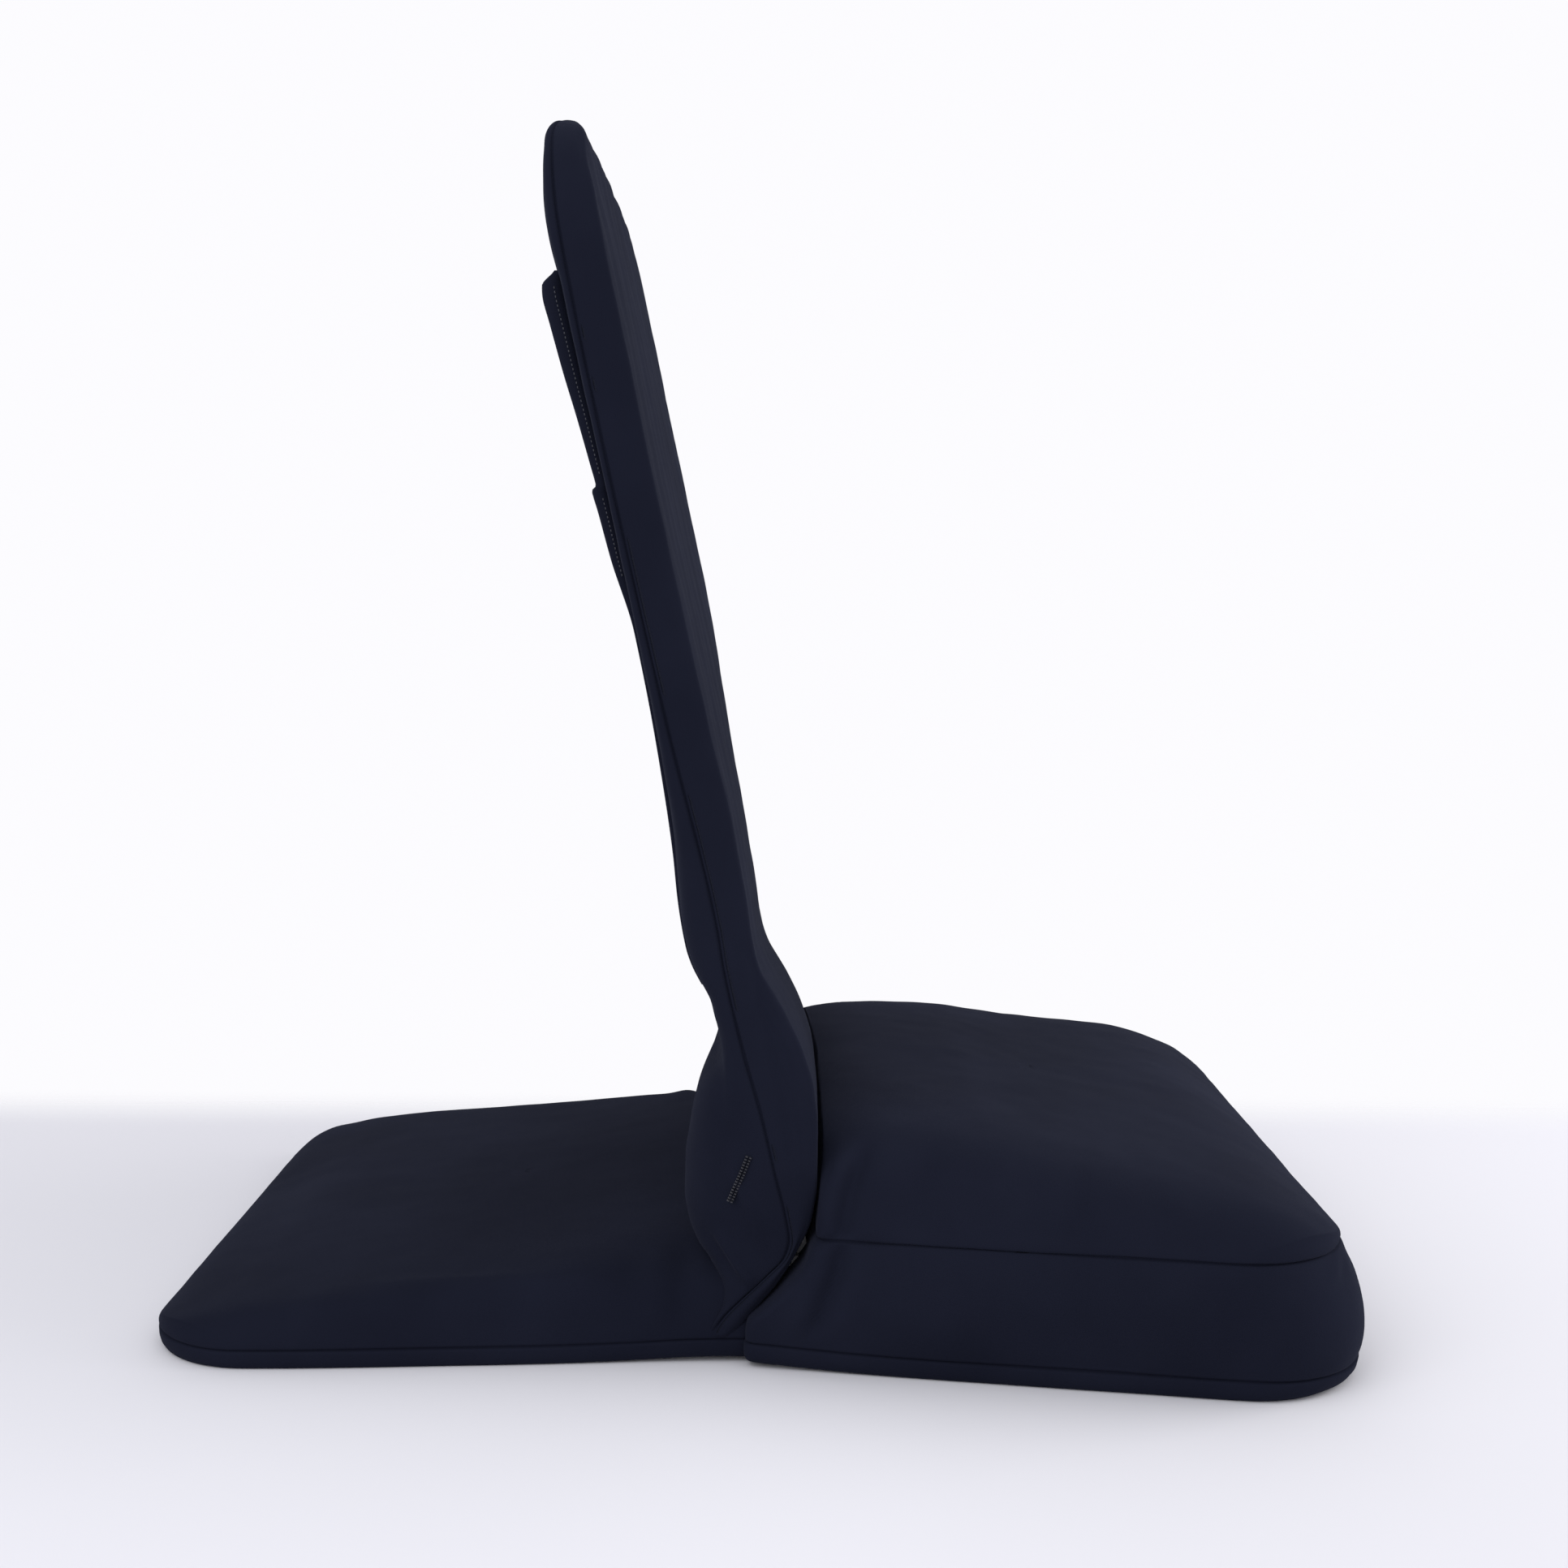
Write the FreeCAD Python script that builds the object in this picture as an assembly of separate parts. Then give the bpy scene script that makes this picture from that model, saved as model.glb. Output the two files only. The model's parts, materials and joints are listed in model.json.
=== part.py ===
import FreeCAD, Part

import math
import os

from FreeCAD import Vector

# Folding floor chair. A long base lies on the floor: a thin padded leaf behind and a thick boxed
# cushion in front. A tall padded back stands between them on two hinges and leans to the rear.
# X points forwards, Y across and Z up. The origin is on the floor, under the middle of the hinge
# line. Lengths are in millimetres and angles in degrees.

# Overall sizes. The half span of the base tubes sets the width of everything else.
hinge_height = 50.0
base_tube_half_span = 203.0
back_lean = 11.9
rear_reach = 410.0
seat_reach = 353.0
back_reach = 738.0
recline_travel = 68.0
fold_travel = 50.0

# Cloth and clearances
cloth = 1.2
swing_gap = 0.8
groove_gap = 2.0
running_gap = 0.05
side_play = 0.1

# Cushions and covers, whose curved outlines are drawn in short straight steps
floor_trim = 0.2
step_length = 10.0
edge_steps = 2
side_steps = 3
crown_steps = 6
corner_steps = 5
flat_enough = 1e-6

# Seat cushion
seat_side_cover = 40.0
seat_flare = 33.0
seat_crown_height = 144.0
seat_crown_fall = 27.0
seat_crown_peak = 60.0
seat_crown_length = 240.0
seat_seam_height = 85.0
seat_shoulder = 52.0
seat_shoulder_rise = 26.0
seat_shoulder_drop = 7.0
seat_corner_radius = 60.0
seat_front_drop = 46.0
seat_front_rise = 14.0
seat_bottom_edge = 9.0
seat_bow = 4.0

# Rear leaf
rear_side_cover = 19.0
rear_flare = 15.0
rear_tip_height = 40.0
rear_wedge_rise = 30.0
rear_seam_height = 13.0
rear_shoulder = 44.0
rear_shoulder_rise = 20.0
rear_shoulder_drop = 2.0
rear_corner_radius = 65.0
rear_tip_drop = 22.0
rear_tip_rise = 5.0
rear_tip_length = 34.0
rear_bottom_edge = 3.0

# Back leaf, measured from the hinge axis
back_side_cover = 23.0
back_front = 14.4
back_front_crown = 2.0
back_rear = 13.0
back_rear_crown = 4.0
back_corner_radius = 70.0
back_foot = 15.0
back_round = 15.0
back_round_depth = 8.0
back_edge = 5.0
back_seam_inset = 4.0

# Steel frame
tube_radius = 8.0
tube_wall = 1.5
cross_radius = 6.0
tube_bend = 40.0
bend_steps = 3
base_tube_height = 12.0
rear_tube_inset = 26.0
front_tube_inset = 53.0
back_tube_inset = 22.0
spigot_length = 40.0
rear_cross_distance = 190.0
seat_cross_distance = 150.0
back_cross_distances = (240.0, 480.0)

# Hinges
plate_thickness = 4.0
arm_thickness = 5.0
arm_half_width = 11.0
arm_length = 95.0
arm_tube_start = 34.0
ear_radius = 13.0
ear_half_foot = 34.0
saddle_wall = 2.5
washer_thickness = 1.3
washer_radius = 9.0
bolt_radius = 4.0
bolt_head_height = 5.0
across_flats = 13.0
nut_height = 6.5
hinge_pocket_length = 60.0
hinge_pocket_gap = 0.8

# Slack cloth in the two creases between the back and the base
rear_crease_reach = 78.0
rear_crease_height = 66.0
rear_crease_top = 205.0
rear_crease_sag = 18.0
rear_crease_inset = 10.0
front_crease_height = 141.0
front_crease_top = 188.0
front_crease_lip = 4.0

# Zipper on the reverse of the back
zipper_edge = 51.0
zipper_bottom = 62.0
zipper_length = 560.0
tape_width = 28.0
tape_thickness = 0.8
chain_width = 5.0
chain_height = 2.0
zipper_slot = 12.0
slider_length = 13.0
slider_width = 9.0
slider_wall = 1.4
slider_gap = 0.3
bail_strap = 1.0
bail_radius = 1.6
bail_leg = 1.2
pull_width = 6.0
pull_length = 24.0
pull_thickness = 1.4
pull_bar = 1.2
pull_window_width = 2.4
pull_window_length = 3.6

axis_x = Vector(1, 0, 0)
axis_y = Vector(0, 1, 0)
axis_z = Vector(0, 0, 1)
origin = Vector(0, 0, 0)
hinge_axis = Vector(0, 0, hinge_height)
far = 1200.0
mitred = 1

seat_rear_half_width = base_tube_half_span + seat_side_cover
rear_waist_half_width = base_tube_half_span + rear_side_cover
back_half_width = base_tube_half_span + back_side_cover
zipper_side = zipper_edge - back_half_width

base_tube_top = base_tube_height + tube_radius
infill_top = base_tube_top + groove_gap
back_front_reach = back_front + back_front_crown
back_rear_reach = back_rear + back_rear_crown
front_swing = back_front_reach + swing_gap
rear_swing = back_rear_reach + swing_gap
trough_radius = max(back_front_reach, back_rear_reach) + 2 * swing_gap
seat_start = trough_radius
rest_turn = 90.0 - back_lean
ear_inner = base_tube_half_span - plate_thickness / 2
arm_outer = ear_inner - washer_thickness - 2 * side_play
arm_offset = arm_outer - arm_thickness / 2
arm_inner = arm_outer - arm_thickness
nut_seat = arm_inner - side_play - washer_thickness
bolt_tip = nut_seat - nut_height
hinge_pocket_inner = bolt_tip - hinge_pocket_gap
hinge_pocket_outer = base_tube_half_span + tube_radius + saddle_wall + hinge_pocket_gap


def crown_fall(distance):
    """How far the back's crowned rear face has fallen away, this far from its middle"""
    chord = back_half_width - back_edge
    radius = (chord**2 + back_rear_crown**2) / (2 * back_rear_crown)
    return radius - math.sqrt(radius**2 - distance**2)


tape_face = crown_fall(abs(zipper_side) - tape_width / 2) - back_rear_reach
chain_face = tape_face - tape_thickness
slider_outer = chain_face - chain_height - slider_gap - slider_wall
bail_centre = slider_outer - bail_leg
zipper_reach = bail_radius + bail_strap / 2 - bail_centre


def line(start, end):
    return Part.LineSegment(start, end).toShape()


def arc(start, middle, end):
    return Part.Arc(start, middle, end).toShape()


def box(low, high):
    size = high - low
    return Part.makeBox(size.x, size.y, size.z, low)


def cylinder(radius, start, end):
    direction = end - start
    return Part.makeCylinder(radius, direction.Length, start, direction)


def both_sides(shape):
    return [shape, shape.mirror(origin, axis_y)]


def clean(shape):
    """The solid, or group of solids, without the seams that a cut or a join leaves"""
    return shape.removeSplitter()


def quarter(distance, length):
    """0 at a rounded end and 1 where the rounding is over, along a quarter ellipse"""
    if distance >= length:
        return 1.0
    return math.sqrt(max(0.0, 1.0 - (1.0 - distance / length) ** 2))


def corner_shares():
    """Shares of a rounded end's length that divide its curve into equal turns"""
    return [math.sin(math.radians(90 * step / corner_steps)) for step in range(1, corner_steps + 1)]


def turned_steps(centre, across, up):
    """Points round a quarter ellipse, from its outer end to its top or foot"""
    steps = max(edge_steps, round(across / step_length))
    angles = [math.radians(90 * step / steps) for step in range(steps + 1)]
    return [centre + Vector(0, across * math.cos(angle), up * math.sin(angle)) for angle in angles]


def bowed_steps(start, end, bow, steps):
    """The points between two ends of a line that bows out by this vector at its middle"""
    shares = [step / steps for step in range(1, steps)]
    return [start + (end - start) * share + bow * (4 * share * (1 - share)) for share in shares]


def padded_section(x, half, low, high, shoulder, rise, drop, edge, bow, belly):
    """Outline across a padded leaf: rounded lower edges, bowed sides, shoulders and a crowned top"""
    side_low = low + edge
    top_edge = high - drop
    rise = min(rise, 0.8 * (top_edge - side_low))
    side_top = top_edge - rise
    right = turned_steps(Vector(x, half - edge, side_low), edge, -edge)[::-1]
    if bow > 0:
        right += bowed_steps(right[-1], Vector(x, half, side_top), axis_y * bow, side_steps)
    right += turned_steps(Vector(x, half - shoulder, side_top), shoulder, rise)
    left = [Vector(p.x, -p.y, p.z) for p in reversed(right)]
    outline = right + bowed_steps(right[-1], left[0], axis_z * drop, crown_steps) + left
    if belly > 0:
        outline += bowed_steps(left[-1], right[0], axis_z * -belly, crown_steps)
    return outline


def patch(a, b, c, d):
    """One flat face on four points in order, or two where they don't lie in one plane"""
    diagonals = (c - a).cross(d - b)
    if abs(diagonals.normalize().dot(b - a)) < flat_enough:
        return [Part.Face(Part.makePolygon([a, b, c, d, a]))]
    if diagonals.dot(b - a) < 0:
        corners = [(a, b, c), (a, c, d)]
    else:
        corners = [(a, b, d), (b, c, d)]
    return [Part.Face(Part.makePolygon([*three, three[0]])) for three in corners]


def skinned(sections):
    """The solid through a row of sections with the same number of points"""
    faces = [Part.Face(Part.makePolygon(end + [end[0]])) for end in (sections[0], sections[-1])]
    for near, next_one in zip(sections, sections[1:]):
        for k in range(len(near)):
            faces += patch(near[k - 1], near[k], next_one[k], next_one[k - 1])
    solid = Part.Solid(Part.Shell(faces))
    if solid.Volume < 0:
        solid.reverse()
    return solid


def seat_section(x, inset):
    from_front = seat_reach - inset - x
    full = seat_rear_half_width + seat_flare * (x - seat_start) / (seat_reach - seat_start) - inset
    corner = seat_corner_radius - inset
    half = full - corner + corner * quarter(from_front, corner)
    crown = seat_crown_height - seat_crown_fall * ((x - seat_crown_peak) / seat_crown_length) ** 2
    high = crown - inset - seat_front_drop * (1 - quarter(from_front, corner))
    low = inset - floor_trim + seat_front_rise * (1 - quarter(from_front, seat_front_rise))
    return padded_section(
        x,
        half,
        low,
        high,
        seat_shoulder,
        seat_shoulder_rise,
        seat_shoulder_drop,
        seat_bottom_edge,
        seat_bow,
        0,
    )


def seat_form(inset):
    """The seat cushion's outside, drawn in by inset"""
    start = seat_start + inset
    corner = seat_reach - seat_corner_radius
    rounded = seat_reach - inset - corner
    stations = [start, (2 * start + corner) / 3, (start + 2 * corner) / 3, corner]
    stations += [corner + rounded * share for share in corner_shares()]
    return skinned([seat_section(x, inset) for x in stations]).common(layer(inset, far))


def rear_section(x, inset):
    from_tip = rear_reach - inset + x
    straight = rear_reach - rear_corner_radius
    share = max(0.0, (x + straight) / straight)
    full = rear_waist_half_width + rear_flare * (1 - share) - inset
    corner = rear_corner_radius - inset
    half = full - corner + corner * quarter(from_tip, corner)
    rounding = 1 - quarter(from_tip, rear_tip_length)
    high = rear_tip_height + rear_wedge_rise * share - inset - rear_tip_drop * rounding
    low = inset - floor_trim + rear_tip_rise * (1 - quarter(from_tip, rear_tip_rise))
    return padded_section(
        x,
        half,
        low,
        high,
        rear_shoulder,
        rear_shoulder_rise,
        rear_shoulder_drop,
        rear_bottom_edge,
        0,
        0,
    )


def rear_form(inset):
    """The rear leaf's outside, from its tip to the seat, drawn in by inset"""
    corner = rear_reach - rear_corner_radius
    rounded = rear_reach - inset - corner
    stations = [-corner - rounded * share for share in reversed(corner_shares())]
    stations += [-corner, seat_start]
    return skinned([rear_section(x, inset) for x in stations]).common(layer(inset, far))


def back_section(x, inset):
    from_top = back_reach - inset + x
    from_foot = back_foot - inset - x
    corner = back_corner_radius - inset
    half = back_half_width - inset - corner + corner * quarter(from_top, corner)
    rounding = 1 - quarter(min(from_top, from_foot), back_round)
    high = back_front_reach - inset - back_round_depth * rounding
    low = inset - back_rear + back_round_depth * rounding
    return padded_section(
        x,
        half,
        low,
        high,
        back_edge,
        back_edge,
        back_front_crown,
        back_edge,
        0,
        back_rear_crown,
    )


def back_form(inset):
    """The back leaf's outside, lying flat with its front face up, drawn in by inset"""
    corner = back_reach - back_corner_radius
    rounded = back_reach - inset - corner
    foot = back_foot - inset
    stations = [-corner - rounded * share for share in reversed(corner_shares())]
    stations += [-corner, 0, foot * math.sqrt(0.5), foot]
    return skinned([back_section(x, inset) for x in stations])


def turn_back(shape, travel):
    """Raises a shape modelled with the back lying flat, to rest plus travel degrees forwards"""
    raised = shape.copy()
    raised.rotate(origin, axis_y, rest_turn + travel)
    raised.translate(hinge_axis)
    return raised


def stand_up(shape):
    return turn_back(shape, 0)


def fold_space():
    """All that the back's front face sweeps over when the back is folded forwards"""
    lying = box(Vector(-far, -far, -far), Vector(far, far, front_swing))
    return turn_back(lying, fold_travel)


def recline_space():
    """All that the back's rear face and its zipper sweep over when the back is laid down"""
    lying = box(Vector(-far, -far, -zipper_reach - swing_gap), Vector(far, far, far))
    return turn_back(lying, -recline_travel)


def hinge_trough():
    """Room for the foot of the back to turn in"""
    return cylinder(trough_radius, Vector(0, -far, hinge_height), Vector(0, far, hinge_height))


def layer(low, high):
    return box(Vector(-far, -far, low), Vector(far, far, high))


def hinge_pockets():
    """Clear boxes round the two hinge brackets"""
    reach = ear_half_foot + hinge_pocket_gap
    low = Vector(-reach, hinge_pocket_inner, base_tube_height)
    high = Vector(reach, hinge_pocket_outer, hinge_height + ear_radius + hinge_pocket_gap)
    return both_sides(box(low, high))


def u_outline(open_x, closed_x, half_span, bend, height):
    """A face shaped like a U's inside: two long sides along X and a rounded end at closed_x"""
    ahead = math.copysign(1.0, closed_x - open_x)
    bend_x = closed_x - ahead * bend
    bend_y = half_span - bend
    turn = bend * math.sqrt(0.5)
    ends = []
    for side in (1, -1):
        leg = Vector(bend_x, side * half_span, height)
        middle = Vector(bend_x + ahead * turn, side * (bend_y + turn), height)
        across = Vector(closed_x, side * bend_y, height)
        ends.append((Vector(open_x, side * half_span, height), leg, middle, across))
    left, right = ends
    edges = [
        line(left[0], left[1]),
        arc(left[1], left[2], left[3]),
        line(left[3], right[3]),
        arc(right[3], right[2], right[1]),
        line(right[1], right[0]),
        line(right[0], left[0]),
    ]
    return Part.Face(Part.Wire(edges))


def u_bar(u, radius):
    """A round bar bent into the U of the given open end, closed end, half span and height"""
    open_x, closed_x, half_span, height = u
    ahead = math.copysign(1.0, closed_x - open_x)
    bend_x = closed_x - ahead * tube_bend
    bend_y = half_span - tube_bend
    reach = tube_bend / math.cos(math.radians(45 / bend_steps))
    corners = []
    for step in range(bend_steps):
        angle = math.radians(90 * (step + 0.5) / bend_steps)
        corners.append((bend_x + ahead * reach * math.sin(angle), bend_y + reach * math.cos(angle)))
    path = [Vector(open_x, half_span, height)]
    path += [Vector(x, y, height) for x, y in corners]
    path += [Vector(x, -y, height) for x, y in reversed(corners)]
    path.append(Vector(open_x, -half_span, height))
    circle = Part.Wire(Part.makeCircle(radius, path[0], axis_x))
    return Part.makePolygon(path).makePipeShell([circle], True, False, mitred)


def u_tube(u):
    return u_bar(u, tube_radius).cut(u_bar(u, tube_radius - tube_wall))


def u_inside(u, growth, low, high):
    """The room inside a U, grown outwards past its centreline, between two heights"""
    open_x, closed_x, half_span, height = u
    ahead = math.copysign(1.0, closed_x - open_x)
    face = u_outline(open_x, closed_x + ahead * growth, half_span + growth, tube_bend + growth, low)
    return face.extrude(axis_z * (high - low))


rear_u = (0.0, rear_tube_inset - rear_reach, base_tube_half_span, base_tube_height)
front_u = (0.0, seat_reach - front_tube_inset, base_tube_half_span, base_tube_height)
back_u = (-arm_tube_start, back_tube_inset - back_reach, arm_offset, 0.0)


def frame_room(u):
    """The room that a base U and its infill pad take out of the foam above them"""
    return u_inside(u, tube_radius + groove_gap, cloth, infill_top)


def base_frame_front():
    """The front U, with a reduced spigot on each leg that slips into the rear U"""
    start = Vector(0, base_tube_half_span, base_tube_height)
    reach = axis_x * spigot_length
    bore = tube_radius - tube_wall
    spigot = cylinder(bore - running_gap, start - reach, start + reach)
    plug = cylinder(bore, start, start + reach)
    return clean(u_tube(front_u).fuse(both_sides(spigot.fuse(plug))))


def cross_tube(x, half_span, height):
    """A cross tube with its ends shaped round the side tubes"""
    start = Vector(x, -half_span, height)
    end = Vector(x, half_span, height)
    solid = cylinder(cross_radius, start, end).cut(cylinder(cross_radius - tube_wall, start, end))
    legs = [
        cylinder(tube_radius, Vector(x - 4 * tube_radius, y, height), Vector(x + 4 * tube_radius, y, height))
        for y in (-half_span, half_span)
    ]
    return solid.cut(legs)


def base_crosses():
    return [
        (-rear_cross_distance, base_tube_half_span, base_tube_height),
        (seat_cross_distance, base_tube_half_span, base_tube_height),
    ]


def cross_grooves(places):
    """Channels in the foam for the cross tubes"""
    half = cross_radius + groove_gap
    grooves = []
    for x, half_span, height in places:
        low = Vector(x - half, -half_span, height - half)
        grooves.append(box(low, low + Vector(2 * half, 2 * half_span, 2 * half)))
    return grooves


def infill_pad(u):
    """A pad between the legs of a base U, notched for its cross tube"""
    pad = u_inside(u, -tube_radius - groove_gap, cloth, infill_top)
    return pad.cut(cross_grooves(base_crosses()) + hinge_pockets())


def seat_inside():
    return seat_form(cloth)


def seat_shell():
    """The seat's cloth, open where the frame and its infill pad pass through the rear wall"""
    return seat_form(0).cut([seat_form(cloth), frame_room(front_u)] + hinge_pockets())


def rear_shell():
    return rear_form(0).cut(rear_form(cloth))


def seat_foam():
    return clean(seat_inside().cut([fold_space(), frame_room(front_u)] + hinge_pockets()))


def seat_wedge_foam():
    return clean(seat_inside().common(fold_space()).cut(hinge_pockets()))


def seat_top_panel():
    return seat_shell().common(layer(seat_seam_height, far)).cut(fold_space())


def seat_side_gusset():
    return seat_shell().common(layer(rear_seam_height, seat_seam_height)).cut(fold_space())


def seat_wedge_cover():
    return seat_shell().common(fold_space())


def rear_foam():
    removed = [recline_space(), hinge_trough(), frame_room(rear_u), frame_room(front_u)]
    return clean(rear_form(cloth).cut(removed + hinge_pockets()))


def rear_top_panel():
    upper = rear_shell().common(layer(rear_seam_height, far))
    return upper.cut([recline_space(), hinge_trough()])


def underside_cover():
    """The floor cloth and the low strip that runs round both leaves"""
    return clean(rear_shell().fuse(seat_shell()).common(layer(-far, rear_seam_height)))


def prism_across(points, half_width):
    """A straight prism across the chair from its outline's points and curved edges"""
    face = Part.Face(Part.Wire(points))
    face.translate(axis_y * -half_width)
    return face.extrude(axis_y * 2 * half_width)


def rear_crease_cloth():
    """The soft root of the rear leaf, and the slack from there up to the reverse of the back"""
    slope = math.tan(math.radians(back_lean))
    top = Vector(-(rear_crease_top - hinge_height) * slope - back_rear_reach, 0, rear_crease_top)
    foot = Vector(-rear_crease_reach, 0, rear_crease_height)
    middle = (top + foot) / 2 + Vector(rear_crease_sag, 0, -rear_crease_sag) / 2
    edges = [
        arc(foot, middle, top),
        line(top, Vector(seat_start, 0, rear_crease_top)),
        line(Vector(seat_start, 0, rear_crease_top), Vector(seat_start, 0, base_tube_top)),
        line(Vector(seat_start, 0, base_tube_top), Vector(-rear_crease_reach, 0, base_tube_top)),
        line(Vector(-rear_crease_reach, 0, base_tube_top), foot),
    ]
    slack = prism_across(edges, back_half_width - rear_crease_inset).cut(rear_form(0))
    root = rear_form(0).common(recline_space())
    in_front = box(Vector(-far, -far, -rear_swing), Vector(far, far, far))
    return clean(slack.fuse(root).cut([stand_up(in_front), hinge_trough()] + hinge_pockets()))


def front_crease_cloth():
    """The slack that runs from the seat's rear edge up to the front of the back"""
    slope = math.tan(math.radians(back_lean))
    edge = seat_start - swing_gap / 2
    top = Vector(-(front_crease_top - hinge_height) * slope + back_front, 0, front_crease_top)
    lip = Vector(edge - front_crease_lip, 0, front_crease_height)
    corner = Vector(edge, 0, front_crease_height - front_crease_lip)
    middle = (top + lip) / 2 + Vector(-front_crease_lip, 0, -front_crease_lip) / 2
    edges = [
        arc(top, middle, lip),
        line(lip, corner),
        line(corner, Vector(edge, 0, hinge_height)),
        line(Vector(edge, 0, hinge_height), Vector(-back_front, 0, hinge_height)),
        line(Vector(-back_front, 0, hinge_height), top),
    ]
    solid = prism_across(edges, seat_rear_half_width - seat_shoulder)
    behind = box(Vector(-far, -far, -far), Vector(far, far, front_swing))
    return solid.cut([stand_up(behind)] + hinge_pockets())


def back_hinge_cuts():
    """Room in the back for the two hinges, and slots for the arms beyond them"""
    low = Vector(-hinge_pocket_length, hinge_pocket_inner, -far)
    high = Vector(far, hinge_pocket_outer, far)
    slot_half = arm_half_width + hinge_pocket_gap
    slot_low = Vector(-arm_length - hinge_pocket_gap, arm_inner - hinge_pocket_gap, -slot_half)
    slot_high = Vector(0, arm_outer + hinge_pocket_gap, slot_half)
    return both_sides(box(low, high)) + both_sides(box(slot_low, slot_high))


def back_crosses():
    return [(-distance, arm_offset, 0.0) for distance in back_cross_distances]


def back_foam(front):
    """One of the two pads that are glued together over the back's frame"""
    half = layer(0, far) if front else layer(-far, 0)
    room = tube_radius + groove_gap
    channel = u_inside(back_u, room, -room, room).cut(u_inside(back_u, -room, -room, room))
    removed = [channel] + cross_grooves(back_crosses()) + back_hinge_cuts()
    return stand_up(back_form(cloth).common(half).cut(removed))


def back_shell():
    return back_form(0).cut([back_form(cloth)] + back_hinge_cuts())


def back_front_panel():
    return stand_up(back_shell().common(layer(back_front - back_seam_inset, far)))


def back_side_gusset():
    return stand_up(back_shell().common(layer(-back_rear + back_seam_inset, back_front - back_seam_inset)))


def back_rear_panel():
    slot = box(
        Vector(-zipper_bottom - zipper_length, zipper_side - zipper_slot / 2, -far),
        Vector(-zipper_bottom, zipper_side + zipper_slot / 2, 0),
    )
    return stand_up(back_shell().common(layer(-far, -back_rear + back_seam_inset)).cut(slot))


def hinge_bracket():
    """A steel ear over the hinge bolt, on a saddle that wraps the base tube"""
    foot = base_tube_height
    slope = math.acos(ear_radius / math.hypot(ear_half_foot, hinge_height - foot))
    slope += math.atan2(foot - hinge_height, ear_half_foot)
    touch = Vector(ear_radius * math.cos(slope), ear_inner, hinge_height + ear_radius * math.sin(slope))
    across = Vector(-touch.x, touch.y, touch.z)
    edges = [
        line(Vector(-ear_half_foot, ear_inner, foot), Vector(ear_half_foot, ear_inner, foot)),
        line(Vector(ear_half_foot, ear_inner, foot), touch),
        arc(touch, Vector(0, ear_inner, hinge_height + ear_radius), across),
        line(across, Vector(-ear_half_foot, ear_inner, foot)),
    ]
    ear = Part.Face(Part.Wire(edges)).extrude(axis_y * plate_thickness)
    tube_start = Vector(-ear_half_foot, base_tube_half_span, base_tube_height)
    tube_end = Vector(ear_half_foot, base_tube_half_span, base_tube_height)
    saddle = cylinder(tube_radius + saddle_wall, tube_start, tube_end)
    saddle = saddle.common(layer(base_tube_height, far))
    tube = cylinder(tube_radius, tube_start, tube_end)
    return clean(ear.fuse(saddle).cut([tube, hinge_line(bolt_radius + running_gap)]))


def hinge_line(radius):
    """A long rod of this radius on the left half of the hinge line"""
    return cylinder(radius, hinge_axis, hinge_axis + axis_y * far)


def hinge_arm():
    """A flat steel arm let into a slot in the back's tube and bored for the hinge bolt"""
    half = arm_half_width
    outline = [
        line(Vector(0, arm_inner, half), Vector(-arm_length, arm_inner, half)),
        line(Vector(-arm_length, arm_inner, half), Vector(-arm_length, arm_inner, -half)),
        line(Vector(-arm_length, arm_inner, -half), Vector(0, arm_inner, -half)),
        arc(Vector(0, arm_inner, -half), Vector(half, arm_inner, 0), Vector(0, arm_inner, half)),
    ]
    plate = Part.Face(Part.Wire(outline)).extrude(axis_y * arm_thickness)
    bore = cylinder(bolt_radius + running_gap, origin, axis_y * far)
    return plate.cut(bore)


def back_frame():
    return stand_up(u_tube(back_u).cut(both_sides(hinge_arm())))


def hex_prism(start, height):
    """A hexagonal prism round the hinge line, from start outwards or, if height is negative, inwards"""
    corner = across_flats / math.sqrt(3)
    points = []
    for step in range(7):
        angle = math.radians(60 * step)
        points.append(Vector(corner * math.cos(angle), start, hinge_height + corner * math.sin(angle)))
    return Part.Face(Part.makePolygon(points)).extrude(axis_y * height)


def hinge_bolt():
    """A hexagon-head shoulder bolt, head outside"""
    seat = ear_inner + plate_thickness
    shank = cylinder(bolt_radius, hinge_axis + axis_y * bolt_tip, hinge_axis + axis_y * seat)
    return clean(hex_prism(seat, bolt_head_height).fuse(shank))


def lock_nut():
    return hex_prism(nut_seat, -nut_height).cut(hinge_line(bolt_radius))


def washer(start):
    place = hinge_axis + axis_y * start
    ring = cylinder(washer_radius, place, place + axis_y * washer_thickness)
    return ring.cut(hinge_line(bolt_radius + running_gap))


def hinge_washers():
    return both_sides(washer(arm_outer + side_play)) + both_sides(washer(nut_seat))


def zipper_tape():
    low = Vector(-zipper_bottom - zipper_length, zipper_side - tape_width / 2, tape_face - tape_thickness)
    high = Vector(-zipper_bottom, zipper_side + tape_width / 2, tape_face)
    return stand_up(box(low, high))


def zipper_chain():
    """The closed teeth, as one ridge with bevelled flanks"""
    half = chain_width / 2
    x = -zipper_bottom - zipper_length
    bevel = chain_height / 3
    points = [
        Vector(x, zipper_side - half, chain_face),
        Vector(x, zipper_side + half, chain_face),
        Vector(x, zipper_side + half, chain_face - chain_height + bevel),
        Vector(x, zipper_side + half - bevel, chain_face - chain_height),
        Vector(x, zipper_side - half + bevel, chain_face - chain_height),
        Vector(x, zipper_side - half, chain_face - chain_height + bevel),
    ]
    ridge = Part.Face(Part.makePolygon(points + [points[0]])).extrude(axis_x * zipper_length)
    return stand_up(ridge)


slider_far_end = -zipper_bottom - zipper_length + 2 * side_play
bail_place = Vector(slider_far_end + slider_length / 2, zipper_side, bail_centre)


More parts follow.
